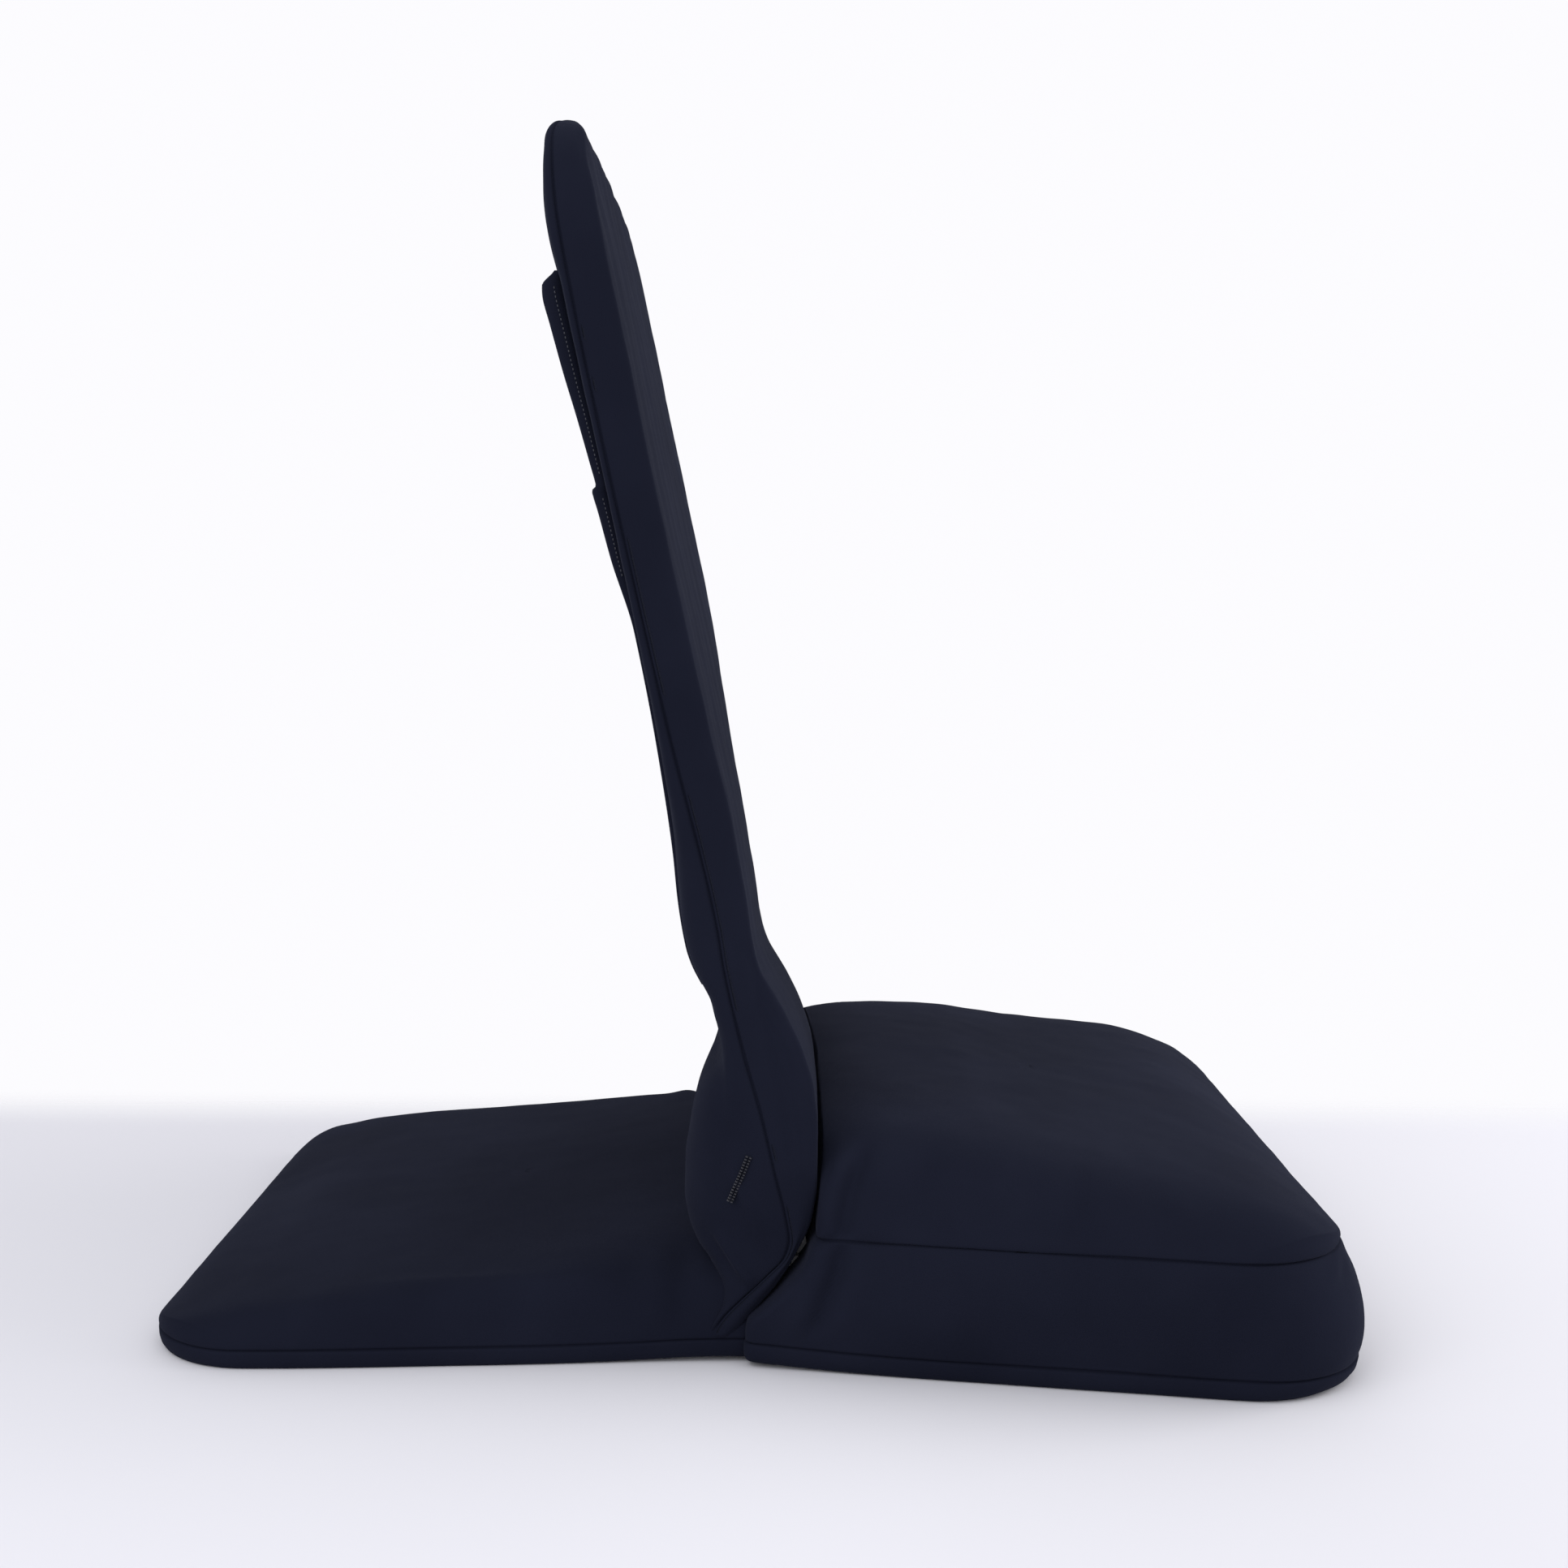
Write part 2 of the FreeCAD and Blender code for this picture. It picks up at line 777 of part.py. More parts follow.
def bail_arch(radius, half_width):
    """An arch over the slider, down to the slider's face"""
    side = axis_y * half_width
    reach = axis_x * radius
    foot = axis_z * bail_leg
    place = bail_place - side
    edges = [
        arc(place - reach, place - axis_z * radius, place + reach),
        line(place + reach, place + reach + foot),
        line(place + reach + foot, place - reach + foot),
        line(place - reach + foot, place - reach),
    ]
    return Part.Face(Part.Wire(edges)).extrude(2 * side)


def zipper_slider():
    """The slider's body, hollow over the teeth, with an arched bail for the pull tab"""
    low = Vector(slider_far_end, zipper_side - slider_width / 2, slider_outer)
    high = Vector(slider_far_end + slider_length, zipper_side + slider_width / 2, chain_face - slider_gap)
    channel_half = chain_width / 2 + slider_gap
    channel = box(
        Vector(-far, zipper_side - channel_half, chain_face - chain_height - slider_gap),
        Vector(far, zipper_side + channel_half, 0),
    )
    body = box(low, high).cut(channel)
    bail = bail_arch(bail_radius + bail_strap / 2, bail_strap / 2)
    opening = bail_arch(bail_radius - bail_strap / 2, bail_strap)
    return stand_up(clean(body.fuse(bail.cut(opening))))


def turned_point(point):
    """Where a point of the lying back stands at rest"""
    angle = math.radians(rest_turn)
    x = point.x * math.cos(angle) + point.z * math.sin(angle)
    z = -point.x * math.sin(angle) + point.z * math.cos(angle)
    return Vector(x, point.y, z + hinge_height)


def zipper_pull():
    """A flat tab that hangs from the bail by the bar over its window"""
    top = turned_point(bail_place) - axis_x * (pull_thickness / 2)
    half = pull_width / 2
    end = pull_length - half
    upper = pull_bar / 2
    outline = [
        line(top + Vector(0, half, upper), top + Vector(0, half, -end)),
        arc(top + Vector(0, half, -end), top + Vector(0, 0, -pull_length), top + Vector(0, -half, -end)),
        line(top + Vector(0, -half, -end), top + Vector(0, -half, upper)),
        line(top + Vector(0, -half, upper), top + Vector(0, half, upper)),
    ]
    plate = Part.Face(Part.Wire(outline)).extrude(axis_x * pull_thickness)
    window_half = pull_window_width / 2
    window = box(
        top + Vector(-pull_thickness, -window_half, -pull_window_length),
        top + Vector(2 * pull_thickness, window_half, -upper),
    )
    return plate.cut(window)


nodes = {
    "base_frame_rear": lambda: u_tube(rear_u),
    "base_frame_front": base_frame_front,
    "rear_cross_tube": lambda: cross_tube(*base_crosses()[0]),
    "seat_cross_tube": lambda: cross_tube(*base_crosses()[1]),
    "rear_infill_pad": lambda: infill_pad(rear_u),
    "seat_infill_pad": lambda: infill_pad(front_u),
    "rear_foam": rear_foam,
    "rear_top_panel": rear_top_panel,
    "underside_cover": underside_cover,
    "seat_foam": seat_foam,
    "seat_wedge_foam": seat_wedge_foam,
    "seat_top_panel": seat_top_panel,
    "seat_side_gusset": seat_side_gusset,
    "seat_wedge_cover": seat_wedge_cover,
    "rear_crease_cloth": rear_crease_cloth,
    "front_crease_cloth": front_crease_cloth,
    "hinge_bracket_left": hinge_bracket,
    "hinge_bracket_right": lambda: hinge_bracket().mirror(origin, axis_y),
    "hinge_bolts": lambda: Part.makeCompound(both_sides(hinge_bolt())),
    "hinge_lock_nuts": lambda: Part.makeCompound(both_sides(lock_nut())),
    "hinge_washers": lambda: Part.makeCompound(hinge_washers()),
    "hinge_arm_left": lambda: stand_up(hinge_arm()),
    "hinge_arm_right": lambda: stand_up(hinge_arm().mirror(origin, axis_y)),
    "back_frame": back_frame,
    "lower_back_cross_tube": lambda: stand_up(cross_tube(*back_crosses()[0])),
    "upper_back_cross_tube": lambda: stand_up(cross_tube(*back_crosses()[1])),
    "back_front_foam": lambda: back_foam(True),
    "back_rear_foam": lambda: back_foam(False),
    "back_front_panel": back_front_panel,
    "back_side_gusset": back_side_gusset,
    "back_rear_panel": back_rear_panel,
    "zipper_tape": zipper_tape,
    "zipper_chain": zipper_chain,
    "zipper_slider": zipper_slider,
    "zipper_pull": zipper_pull,
}

os.makedirs("parts", exist_ok=True)
for name, make in nodes.items():
    shape = make()
    shape.exportStep(os.path.join("parts", name + ".step"))
    print(name, len(shape.Solids), round(shape.Volume / 1000, 1), "cm3", shape.isValid())
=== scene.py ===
import json
import math

import bpy
import numpy as np
from mathutils import Matrix, Vector, noise


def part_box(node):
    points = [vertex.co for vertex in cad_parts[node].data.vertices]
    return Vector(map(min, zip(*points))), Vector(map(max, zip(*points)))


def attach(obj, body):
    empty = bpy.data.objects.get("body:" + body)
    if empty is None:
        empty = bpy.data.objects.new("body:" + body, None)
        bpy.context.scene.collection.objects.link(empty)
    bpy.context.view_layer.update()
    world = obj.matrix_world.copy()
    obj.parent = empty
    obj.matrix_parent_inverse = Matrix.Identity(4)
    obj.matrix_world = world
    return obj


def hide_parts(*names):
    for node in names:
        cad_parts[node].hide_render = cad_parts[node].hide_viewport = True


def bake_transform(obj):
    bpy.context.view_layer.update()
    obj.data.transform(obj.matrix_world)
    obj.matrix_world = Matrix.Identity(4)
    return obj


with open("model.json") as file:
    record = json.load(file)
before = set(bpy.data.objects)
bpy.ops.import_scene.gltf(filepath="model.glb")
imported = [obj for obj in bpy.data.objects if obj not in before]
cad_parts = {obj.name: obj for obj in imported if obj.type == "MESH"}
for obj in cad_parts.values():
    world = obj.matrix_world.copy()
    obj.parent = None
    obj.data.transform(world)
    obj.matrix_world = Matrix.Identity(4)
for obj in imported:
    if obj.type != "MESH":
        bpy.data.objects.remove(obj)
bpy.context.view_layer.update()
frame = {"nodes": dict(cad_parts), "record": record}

# All lengths are in metres. X points forwards, Y across and Z up, from the floor under the hinge line.
MM = 0.001
SEAT_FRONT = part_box("seat_side_gusset")[1].x
LEAF_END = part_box("rear_top_panel")[0].x
BACK_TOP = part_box("back_side_gusset")[1].z
BACK_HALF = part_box("back_side_gusset")[1].y
ZIP_LOW, ZIP_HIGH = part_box("zipper_chain")


def through(points, at):
    """Values at the places `at` of a smooth curve through (place, value) points"""
    places = np.array([p[0] for p in points], float)
    values = np.array([p[1] for p in points], float)
    steps = np.diff(values) / np.diff(places)
    slopes = np.zeros(len(places))
    slopes[0], slopes[-1] = steps[0], steps[-1]
    for i in range(1, len(places) - 1):
        if steps[i - 1] * steps[i] > 0:
            slopes[i] = 2 * steps[i - 1] * steps[i] / (steps[i - 1] + steps[i])
    at = np.clip(np.asarray(at, float), places[0], places[-1])
    k = np.clip(np.searchsorted(places, at, side="right") - 1, 0, len(places) - 2)
    width = places[k + 1] - places[k]
    t = (at - places[k]) / width
    return (
        values[k] * (1 + 2 * t) * (1 - t) ** 2
        + slopes[k] * width * t * (1 - t) ** 2
        + values[k + 1] * t**2 * (3 - 2 * t)
        + slopes[k + 1] * width * t**2 * (t - 1)
    )


def bump(value, centre, width):
    """1 at the centre, falling smoothly, and 0.37 of that one width away"""
    return np.exp(-(((np.asarray(value, float) - centre) / width) ** 2))


def step_up(value, low, high):
    """0 below low, 1 above high, smooth between"""
    t = np.clip((np.asarray(value, float) - low) / (high - low), 0, 1)
    return t * t * (3 - 2 * t)


def grain(points, size, seed):
    """Smooth noise from -1 to 1 at each point, with features of about this size"""
    shift = Vector((seed * 7.1, seed * 3.7, seed * 1.3))
    flat = points.reshape(-1, 3)
    values = [noise.noise(Vector(p) / size + shift) for p in flat]
    return np.array(values).reshape(points.shape[:-1])


def new_piece(name, vertices, faces, material):
    mesh = bpy.data.meshes.new(name)
    mesh.from_pydata(vertices, [], faces)
    mesh.validate()
    mesh.update()
    piece = bpy.data.objects.new(name, mesh)
    bpy.context.scene.collection.objects.link(piece)
    mesh.materials.append(material)
    return piece


def skin(name, rings, material):
    """A smooth closed mesh from rings of points, the end rings closed by joining their mirrored halves"""
    count, around = rings.shape[:2]
    faces = []
    for i in range(count - 1):
        for j in range(around):
            k = (j + 1) % around
            faces.append((i * around + j, i * around + k, (i + 1) * around + k, (i + 1) * around + j))
    last = (count - 1) * around
    for j in range(around // 2 - 1):
        faces.append((around - 1 - j, around - 2 - j, j + 1, j))
    for j in range(around // 2 - 1):
        faces.append((last + j, last + j + 1, last + around - 2 - j, last + around - 1 - j))
    piece = new_piece(name, rings.reshape(-1, 3).tolist(), faces, material)
    piece.data.polygons.foreach_set("use_smooth", [True] * len(piece.data.polygons))
    return piece


def normals_of(rings):
    """Outward normals of a field of rings"""
    along = np.gradient(rings, axis=0)
    around = np.roll(rings, -1, axis=1) - np.roll(rings, 1, axis=1)
    normal = np.cross(around, along)
    length = np.linalg.norm(normal, axis=-1, keepdims=True)
    return normal / np.maximum(length, 1e-12)


# Materials

CLOTH_ROUGHNESS = 0.95
CLOTH_IOR = 1.06
CLOTH_SHEEN = 0.03
SHEEN_ROUGHNESS = 0.45
SHEEN_TINT = (0.6, 0.65, 0.9, 1)
CLOTH_RELIEF = 0.6 * MM
RELIEF_STRENGTH = 0.5
WEAVE_SHARE = 0.05
SLUB_SCALE, SLUB_SHARE = 900, 0.16
CREASE_SCALE, CREASE_SHARE = 46, 0.9
DYE_SCALE = 7
MOTTLE_SCALE = 240
SPECKLE = 0.1
GLOSS_SPREAD = 0.2


def new_material(name):
    material = bpy.data.materials.new(name)
    material.use_nodes = True
    nodes = material.node_tree.nodes
    return material, nodes, material.node_tree.links, nodes["Principled BSDF"]


def math_node(nodes, links, operation, first, second=None):
    node = nodes.new("ShaderNodeMath")
    node.operation = operation
    for socket, value in zip(node.inputs, (first, second)):
        if value is None:
            continue
        if isinstance(value, (int, float)):
            socket.default_value = value
        else:
            links.new(value, socket)
    return node.outputs[0]


def noise_node(nodes, links, place, scale, detail, roughness=0.5):
    node = nodes.new("ShaderNodeTexNoise")
    node.inputs["Scale"].default_value = scale
    node.inputs["Detail"].default_value = detail
    node.inputs["Roughness"].default_value = roughness
    links.new(place, node.inputs["Vector"])
    return node.outputs["Fac"]


def ramp_node(nodes, links, factor, stops):
    node = nodes.new("ShaderNodeValToRGB")
    for element, (position, colour) in zip(node.color_ramp.elements, stops):
        element.position = position
        element.color = (*colour, 1)
    links.new(factor, node.inputs["Fac"])
    return node.outputs["Color"]


def woven(name, dark, light, thread):
    """Matte woven cloth: a plain weave of threads this far apart, slubs, faint creases and uneven dye"""
    material, nodes, links, shader = new_material(name)
    place = nodes.new("ShaderNodeTexCoord").outputs["Object"]
    split = nodes.new("ShaderNodeSeparateXYZ")
    links.new(place, split.inputs[0])
    waves = []
    for axis in range(3):
        turned = math_node(nodes, links, "MULTIPLY", split.outputs[axis], 2 * math.pi / thread)
        waves.append(math_node(nodes, links, "SINE", turned))
    weave = math_node(nodes, links, "MULTIPLY", waves[0], waves[1])
    for first, second in ((1, 2), (2, 0)):
        pair = math_node(nodes, links, "MULTIPLY", waves[first], waves[second])
        weave = math_node(nodes, links, "ADD", weave, pair)
    slubs = noise_node(nodes, links, place, SLUB_SCALE, 2)
    creases = noise_node(nodes, links, place, CREASE_SCALE, 5, 0.6)
    dye = noise_node(nodes, links, place, DYE_SCALE, 4)
    links.new(ramp_node(nodes, links, dye, ((0.35, dark), (0.7, light))), shader.inputs["Base Color"])
    height = math_node(nodes, links, "MULTIPLY", weave, WEAVE_SHARE)
    for layer, share in ((slubs, SLUB_SHARE), (creases, CREASE_SHARE)):
        height = math_node(nodes, links, "ADD", height, math_node(nodes, links, "MULTIPLY", layer, share))
    relief = nodes.new("ShaderNodeBump")
    relief.inputs["Strength"].default_value = RELIEF_STRENGTH
    relief.inputs["Distance"].default_value = CLOTH_RELIEF
    links.new(height, relief.inputs["Height"])
    links.new(relief.outputs["Normal"], shader.inputs["Normal"])
    shader.inputs["Roughness"].default_value = CLOTH_ROUGHNESS
    shader.inputs["IOR"].default_value = CLOTH_IOR
    shader.inputs["Sheen Weight"].default_value = CLOTH_SHEEN
    shader.inputs["Sheen Roughness"].default_value = SHEEN_ROUGHNESS
    shader.inputs["Sheen Tint"].default_value = SHEEN_TINT
    return material


def hard(name, colour, metallic, roughness):
    """A coated or plain hard surface with fine unevenness in its gloss"""
    material, nodes, links, shader = new_material(name)
    place = nodes.new("ShaderNodeTexCoord").outputs["Object"]
    mottle = noise_node(nodes, links, place, MOTTLE_SCALE, 4)
    dark = tuple(c * (1 - SPECKLE) for c in colour)
    links.new(ramp_node(nodes, links, mottle, ((0.3, dark), (0.7, colour))), shader.inputs["Base Color"])
    spread = math_node(nodes, links, "MULTIPLY", mottle, GLOSS_SPREAD)
    uneven = math_node(nodes, links, "ADD", spread, roughness - GLOSS_SPREAD / 2)
    links.new(uneven, shader.inputs["Roughness"])
    shader.inputs["Metallic"].default_value = metallic
    return material


cotton = woven("cover_cotton", (0.0086, 0.0098, 0.0180), (0.0118, 0.0134, 0.0242), 0.75 * MM)
stitch_thread = hard("stitch_thread", (0.034, 0.036, 0.050), 0.0, 0.6)
teeth_nylon = hard("zipper_teeth", (0.020, 0.021, 0.028), 0.0, 0.45)
enamel = hard("zipper_metal", (0.05, 0.05, 0.056), 0.6, 0.36)
powder_coat = hard("frame_steel", (0.03, 0.03, 0.032), 0.0, 0.5)
zinc_paint = hard("hinge_steel", (0.16, 0.16, 0.17), 0.5, 0.42)
plated = hard("fastener_steel", (0.6, 0.6, 0.62), 1.0, 0.3)
nylon = hard("washer_nylon", (0.7, 0.69, 0.64), 0.0, 0.4)


def dress_cad_nodes():
    finishes = {
        "frame_steel": powder_coat,
        "hinge_steel": zinc_paint,
        "fastener_steel": plated,
        "washer_nylon": nylon,
        "zipper_metal": enamel,
    }
    for row in frame["record"]["subparts"]:
        material = finishes.get(row["material_slot"])
        if material is None:
            continue
        piece = frame["nodes"][row["node"]]
        piece.data.materials.clear()
        piece.data.materials.append(material)


# Outlines in plan, the same number of points at every level

REAR_POINTS = 22
REAR_TURN = 8
SIDE_POINTS = 90
FRONT_TURN = 24
FRONT_POINTS = 34

# How far the two halves of a ring stay from the middle plane
MIDLINE = 0.2 * MM


def plan(x_rear, x_front, half_at, rear_radius, front_radius):
    """A closed outline in plan, its near half from rear to front and then its far half back again"""
    rear_turn = np.linspace(0, math.pi / 2, REAR_TURN + 1)[1:]
    front_turn = np.linspace(0, math.pi / 2, FRONT_TURN + 1)[1:]
    side_x = np.linspace(x_rear + rear_radius, x_front - front_radius, SIDE_POINTS + 1)[1:]
    rear_x = x_rear + rear_radius * (1 - np.cos(rear_turn))
    front_x = x_front - front_radius * (1 - np.sin(front_turn))
    x = [np.full(REAR_POINTS, x_rear), rear_x, side_x, front_x, np.full(FRONT_POINTS - 1, x_front)]
    y = [
        np.linspace(MIDLINE, half_at(x_rear) - rear_radius, REAR_POINTS),
        half_at(rear_x) - rear_radius * (1 - np.sin(rear_turn)),
        half_at(side_x),
        half_at(front_x) - front_radius * (1 - np.cos(front_turn)),
        np.linspace(half_at(x_front) - front_radius, MIDLINE, FRONT_POINTS)[1:],
    ]
    half = np.column_stack([np.concatenate(x), -np.concatenate(y)])
    return np.concatenate([half, (half * (1, -1))[::-1]])


def levels(outline, height_at, shares, centre):
    """Rings at these shares of the way from a centre to an outline, at the height of the surface there"""
    rings = []
    for share in shares:
        spot = centre + (outline - centre) * share
        rings.append(np.column_stack([spot, height_at(spot[:, 0], spot[:, 1])]))
    return rings


# Shares of the way out for the rings of a cushion's top and of its floor side
TOP_SHARES = 1 - np.concatenate([np.linspace(0.004, 0.12, 20), np.linspace(0.135, 0.985, 34)])
FLOOR_SHARES = (0.25, 0.6, 0.9)

# A seam's groove from bottom to top, as height from the seam and depth in millimetres
GROOVE = ((-2.4, 0.0), (-1.1, 0.15), (-0.45, 1.9), (0.45, 1.9), (1.1, 0.15), (2.4, 0.0))
GROOVE_HALF = GROOVE[-1][0] * MM

# Degrees along the rounding between the floor side and the lower seam
LOWER_ROUND = (0, 25, 50, 72)

WAIST_X, WAIST_WIDTH = -0.045, 0.06
WAIST_LIFT = 3.5 * MM
FLOOR_LIFT = 0.2 * MM


def underside(x):
    """The floor side of the base, which lifts a little at the waist"""
    return WAIST_LIFT * bump(x, WAIST_X, WAIST_WIDTH)


def floor_side(x, y):
    return underside(x) + FLOOR_LIFT


# Seat cushion. Tables of two columns are points of a smooth curve.

SEAT_SEAM = 0.085
LOW_SEAM = 0.0135
SEAT_CENTRE = (0.17, 0)
SEAT_FLOOR_INSET = 0.006
SEAT_TUCK = 0.005
SEAT_ROUND_LEVEL = 0.011
SEAT_ROUND_RISE = 0.0105
SEAT_REAR_CORNER = 0.006
SEAT_LOW_CORNER = 0.074
SEAT_CORNER_GROWTH = 0.008
SEAT_TOP_LEVEL = 0.143
WALL_LEVELS = 28
WALL_SWELL = 3.6 * MM
SWELL_POWER = 0.8
SEAM_DROP = 2 * MM
CROWN_FALL = 3 * MM
CROWN_HALF = 0.2
SEAT_REAR = 0.012
SIDE_ROUND = 0.019
FRONT_ROUND = 0.040
REAR_ROUND = 0.012
REAR_DIP = 0.08
FAR_REACH = 9 * MM

# The outline stops changing with height this many millimetres above the seam
SEAM_LEAN = 0.6

# x and half width
SEAT_WIDTHS = ((-0.04, 0.232), (0.02, 0.241), (0.10, 0.254), (0.20, 0.270), (0.29, 0.283), (0.36, 0.286))

# Height and x of the crease beside the back
SEAT_CREASE = (
    (0.0, -0.034), (0.027, -0.0275), (0.037, -0.017), (0.053, -0.0026), (0.070, 0.0095), (0.084, 0.0125),
    (0.100, 0.0140), (0.143, 0.0160),
)

# Height and distance behind the foremost line: the front leans in above its middle and tucks in below
FRONT_LEAN = ((0.0, 0.006), (0.006, 0.001), (0.020, -0.001), (0.040, 0.001), (0.060, 0.005), (0.085, 0.012))

# x and height of the crown
SEAT_CROWN = (
    (0.0, 0.1425), (0.05, 0.1465), (0.117, 0.1425), (0.15, 0.137), (0.185, 0.1318), (0.217, 0.1278),
    (0.25, 0.1255), (0.283, 0.124), (0.36, 0.110),
)

# Height and x of the deepest fold beside the back
FOLD_LINE = ((0.02, 0.009), (0.045, 0.0163), (0.069, 0.0249), (0.107, 0.0307), (0.140, 0.0425))

# Folds along that line, as height in millimetres, distance in front of it and width, and one higher up
SEAT_FOLDS = ((-4.2, 0.001, 0.0052), (3.6, -0.0105, 0.0075), (2.4, 0.016, 0.012))
UPPER_FOLD = (-1.6, 0.040, 0.010)

# Where the pleats meet, as x and height, the angle from one to the next and how fast they flatten
PLEAT_CORNER = (0.338, 0.086)
PLEAT_ANGLE = 0.13
PLEAT_LENGTH = 0.045

# How near to a seam the folds fade out
FOLD_MARGIN = 0.0045


def seat_half(x):
    return through(SEAT_WIDTHS, x)


def seat_front(z):
    return SEAT_FRONT - float(through(FRONT_LEAN, z))


def seat_crown(x, y):
    return through(SEAT_CROWN, x) - CROWN_FALL * (y / CROWN_HALF) ** 2


def seat_seam(x):
    return SEAT_SEAM - SEAM_DROP * step_up(x, 0.25, 0.35)


def seat_top_height(x, y):
    to_side = np.maximum(seat_half(x) - np.abs(y), 0)
    to_front = np.maximum(seat_front(SEAT_SEAM) - x, 0)
    to_rear = np.maximum(x - SEAT_REAR, 0)
    edge = seat_seam(x)
    rise = (1 - np.exp(-to_side / SIDE_ROUND)) * (1 - np.exp(-to_front / FRONT_ROUND))
    rise = rise * (1 - REAR_DIP + REAR_DIP * (1 - np.exp(-to_rear / REAR_ROUND)))
    return edge + (seat_crown(x, y) - edge) * rise + GROOVE_HALF


def seat_outline(level, inset):
    return plan(
        float(through(SEAT_CREASE, level)) + inset,
        seat_front(level) - inset,
        lambda x: seat_half(x) - inset,
        SEAT_REAR_CORNER,
        SEAT_LOW_CORNER + SEAT_CORNER_GROWTH * min(level / SEAT_SEAM, 1.0),
    )


def seat_rings():
    rings = levels(seat_outline(0.0, SEAT_FLOOR_INSET), floor_side, FLOOR_SHARES, SEAT_CENTRE)

    def add(level, inset, height_at):
        outline = seat_outline(level, inset)
        rings.append(np.column_stack([outline, height_at(outline[:, 0])]))

    for angle in LOWER_ROUND:
        turn = math.radians(angle)
        up = 1 - math.cos(turn)
        tuck = SEAT_TUCK * (1 - math.sin(turn))
        add(SEAT_ROUND_LEVEL * up, tuck, lambda x: underside(x) + SEAT_ROUND_RISE * up)
    for above, deep in GROOVE:
        level = LOW_SEAM + above * MM
        add(level, deep * MM, lambda x: underside(x) + level)
    wall_start = LOW_SEAM + GROOVE_HALF
    for share in np.linspace(0, 1, WALL_LEVELS)[1:-1]:
        level = wall_start + (SEAT_SEAM - GROOVE_HALF - wall_start) * share
        swell = WALL_SWELL * math.sin(math.pi * share) ** SWELL_POWER
        add(
            level,
            -swell,
            lambda x: underside(x) * (1 - share) + level + (seat_seam(x) - SEAT_SEAM) * share,
        )
    for above, deep in GROOVE:
        add(SEAT_SEAM + min(above, SEAM_LEAN) * MM, deep * MM, lambda x: seat_seam(x) + above * MM)
    rings += levels(seat_outline(SEAT_TOP_LEVEL, 0.5 * MM), seat_top_height, TOP_SHARES, SEAT_CENTRE)
    rings = np.array(rings)
    far_side = step_up(rings[..., 1], 0.0, 0.22) * (1 - step_up(rings[..., 0], 0.0, 0.08))
    rings[..., 0] -= FAR_REACH * far_side * step_up(rings[..., 2], 0.08, 0.13)
    return rings


def seat_folds(rings):
    """Soft folds beside the back, pleats at the front corners and slight unevenness"""
    x, y, z = rings[..., 0], rings[..., 1], rings[..., 2]
    side = step_up(np.abs(y), 0.185, 0.225)
    fold = through(FOLD_LINE, z)
    reach = step_up(z, 0.018, 0.040) * (1 - step_up(z, 0.122, 0.142)) * side
    lift = np.zeros(x.shape)
    for height, ahead, width in SEAT_FOLDS:
        lift += height * MM * bump(x, fold + ahead, width) * reach
    height, ahead, width = UPPER_FOLD
    lift += height * MM * bump(x, fold + ahead, width) * reach * step_up(z, 0.07, 0.11)
    lift -= 1.2 * MM * bump(x, 0.165 + 0.3 * (z - 0.1), 0.008) * bump(z, 0.106, 0.018) * side
    behind, above = PLEAT_CORNER[0] - x, z - PLEAT_CORNER[1]
    from_corner = np.hypot(behind, above)
    pleats = np.cos(np.arctan2(above, behind) / PLEAT_ANGLE) * np.exp(-from_corner / PLEAT_LENGTH)
    pleats = pleats * step_up(from_corner, 0.006, 0.02)
    lift += 1.5 * MM * pleats * step_up(np.abs(y), 0.185, 0.22) * step_up(z, 0.062, 0.078)
    lift *= 1 - bump(z, SEAT_SEAM, FOLD_MARGIN) * side
    lift += 0.9 * MM * grain(rings, 0.075, 1) + 0.4 * MM * grain(rings, 0.022, 2)
    return rings + normals_of(rings) * (lift * step_up(z, 0.004, 0.02))[..., None]


def make_seat():
    seat = skin("seat_cover", seat_folds(seat_rings()), cotton)
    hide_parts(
        "seat_top_panel",
        "seat_side_gusset",
        "seat_wedge_cover",
        "seat_foam",
        "seat_wedge_foam",
        "seat_infill_pad",
    )
    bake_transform(seat)


# Rear leaf

LEAF_SEAM = 0.0125
LEAF_ROOT = 0.010
LEAF_CENTRE = (-0.20, 0)
LEAF_FLOOR_INSET = 0.005
LEAF_TUCK = 0.004
LEAF_ROUND_RISE = 0.0095
LEAF_ROOT_CORNER = 0.010
LEAF_TIP_CORNER = 0.066
LEAF_GROOVE_SHARE = 0.8
LEAF_CROWN = 5 * MM
LEAF_CROWN_HALF = 0.23
LEAF_DROOP = 9 * MM
LEAF_SIDE_ROUND = 0.0062
LEAF_TIP_ROUND = 0.0075

# x and half width
LEAF_WIDTHS = ((-0.42, 0.2385), (-0.34, 0.2385), (-0.20, 0.232), (-0.08, 0.225), (0.0, 0.223))

# x and height of the top just inside the sides
LEAF_EDGE = (
    (-0.41, 0.020), (-0.373, 0.0265), (-0.345, 0.032), (-0.192, 0.0485), (-0.073, 0.0600), (0.0, 0.062),
)


def leaf_half(x):
    return through(LEAF_WIDTHS, x)


def leaf_top_height(x, y):
    to_side = np.maximum(leaf_half(x) - np.abs(y), 0)
    to_tip = np.maximum(x - LEAF_END, 0)
    low = underside(x) + LEAF_SEAM
    crown = LEAF_CROWN * (1 - np.minimum((y / LEAF_CROWN_HALF) ** 2, 1)) * step_up(x, -0.41, -0.32)
    droop = LEAF_DROOP * step_up(x, -0.15, -0.06) * step_up(-y, 0.16, 0.22)
    high = through(LEAF_EDGE, x) + crown - droop
    across, along = 1 - np.exp(-to_side / LEAF_SIDE_ROUND), 1 - np.exp(-to_tip / LEAF_TIP_ROUND)
    return low + (high - low) * across * along + GROOVE_HALF


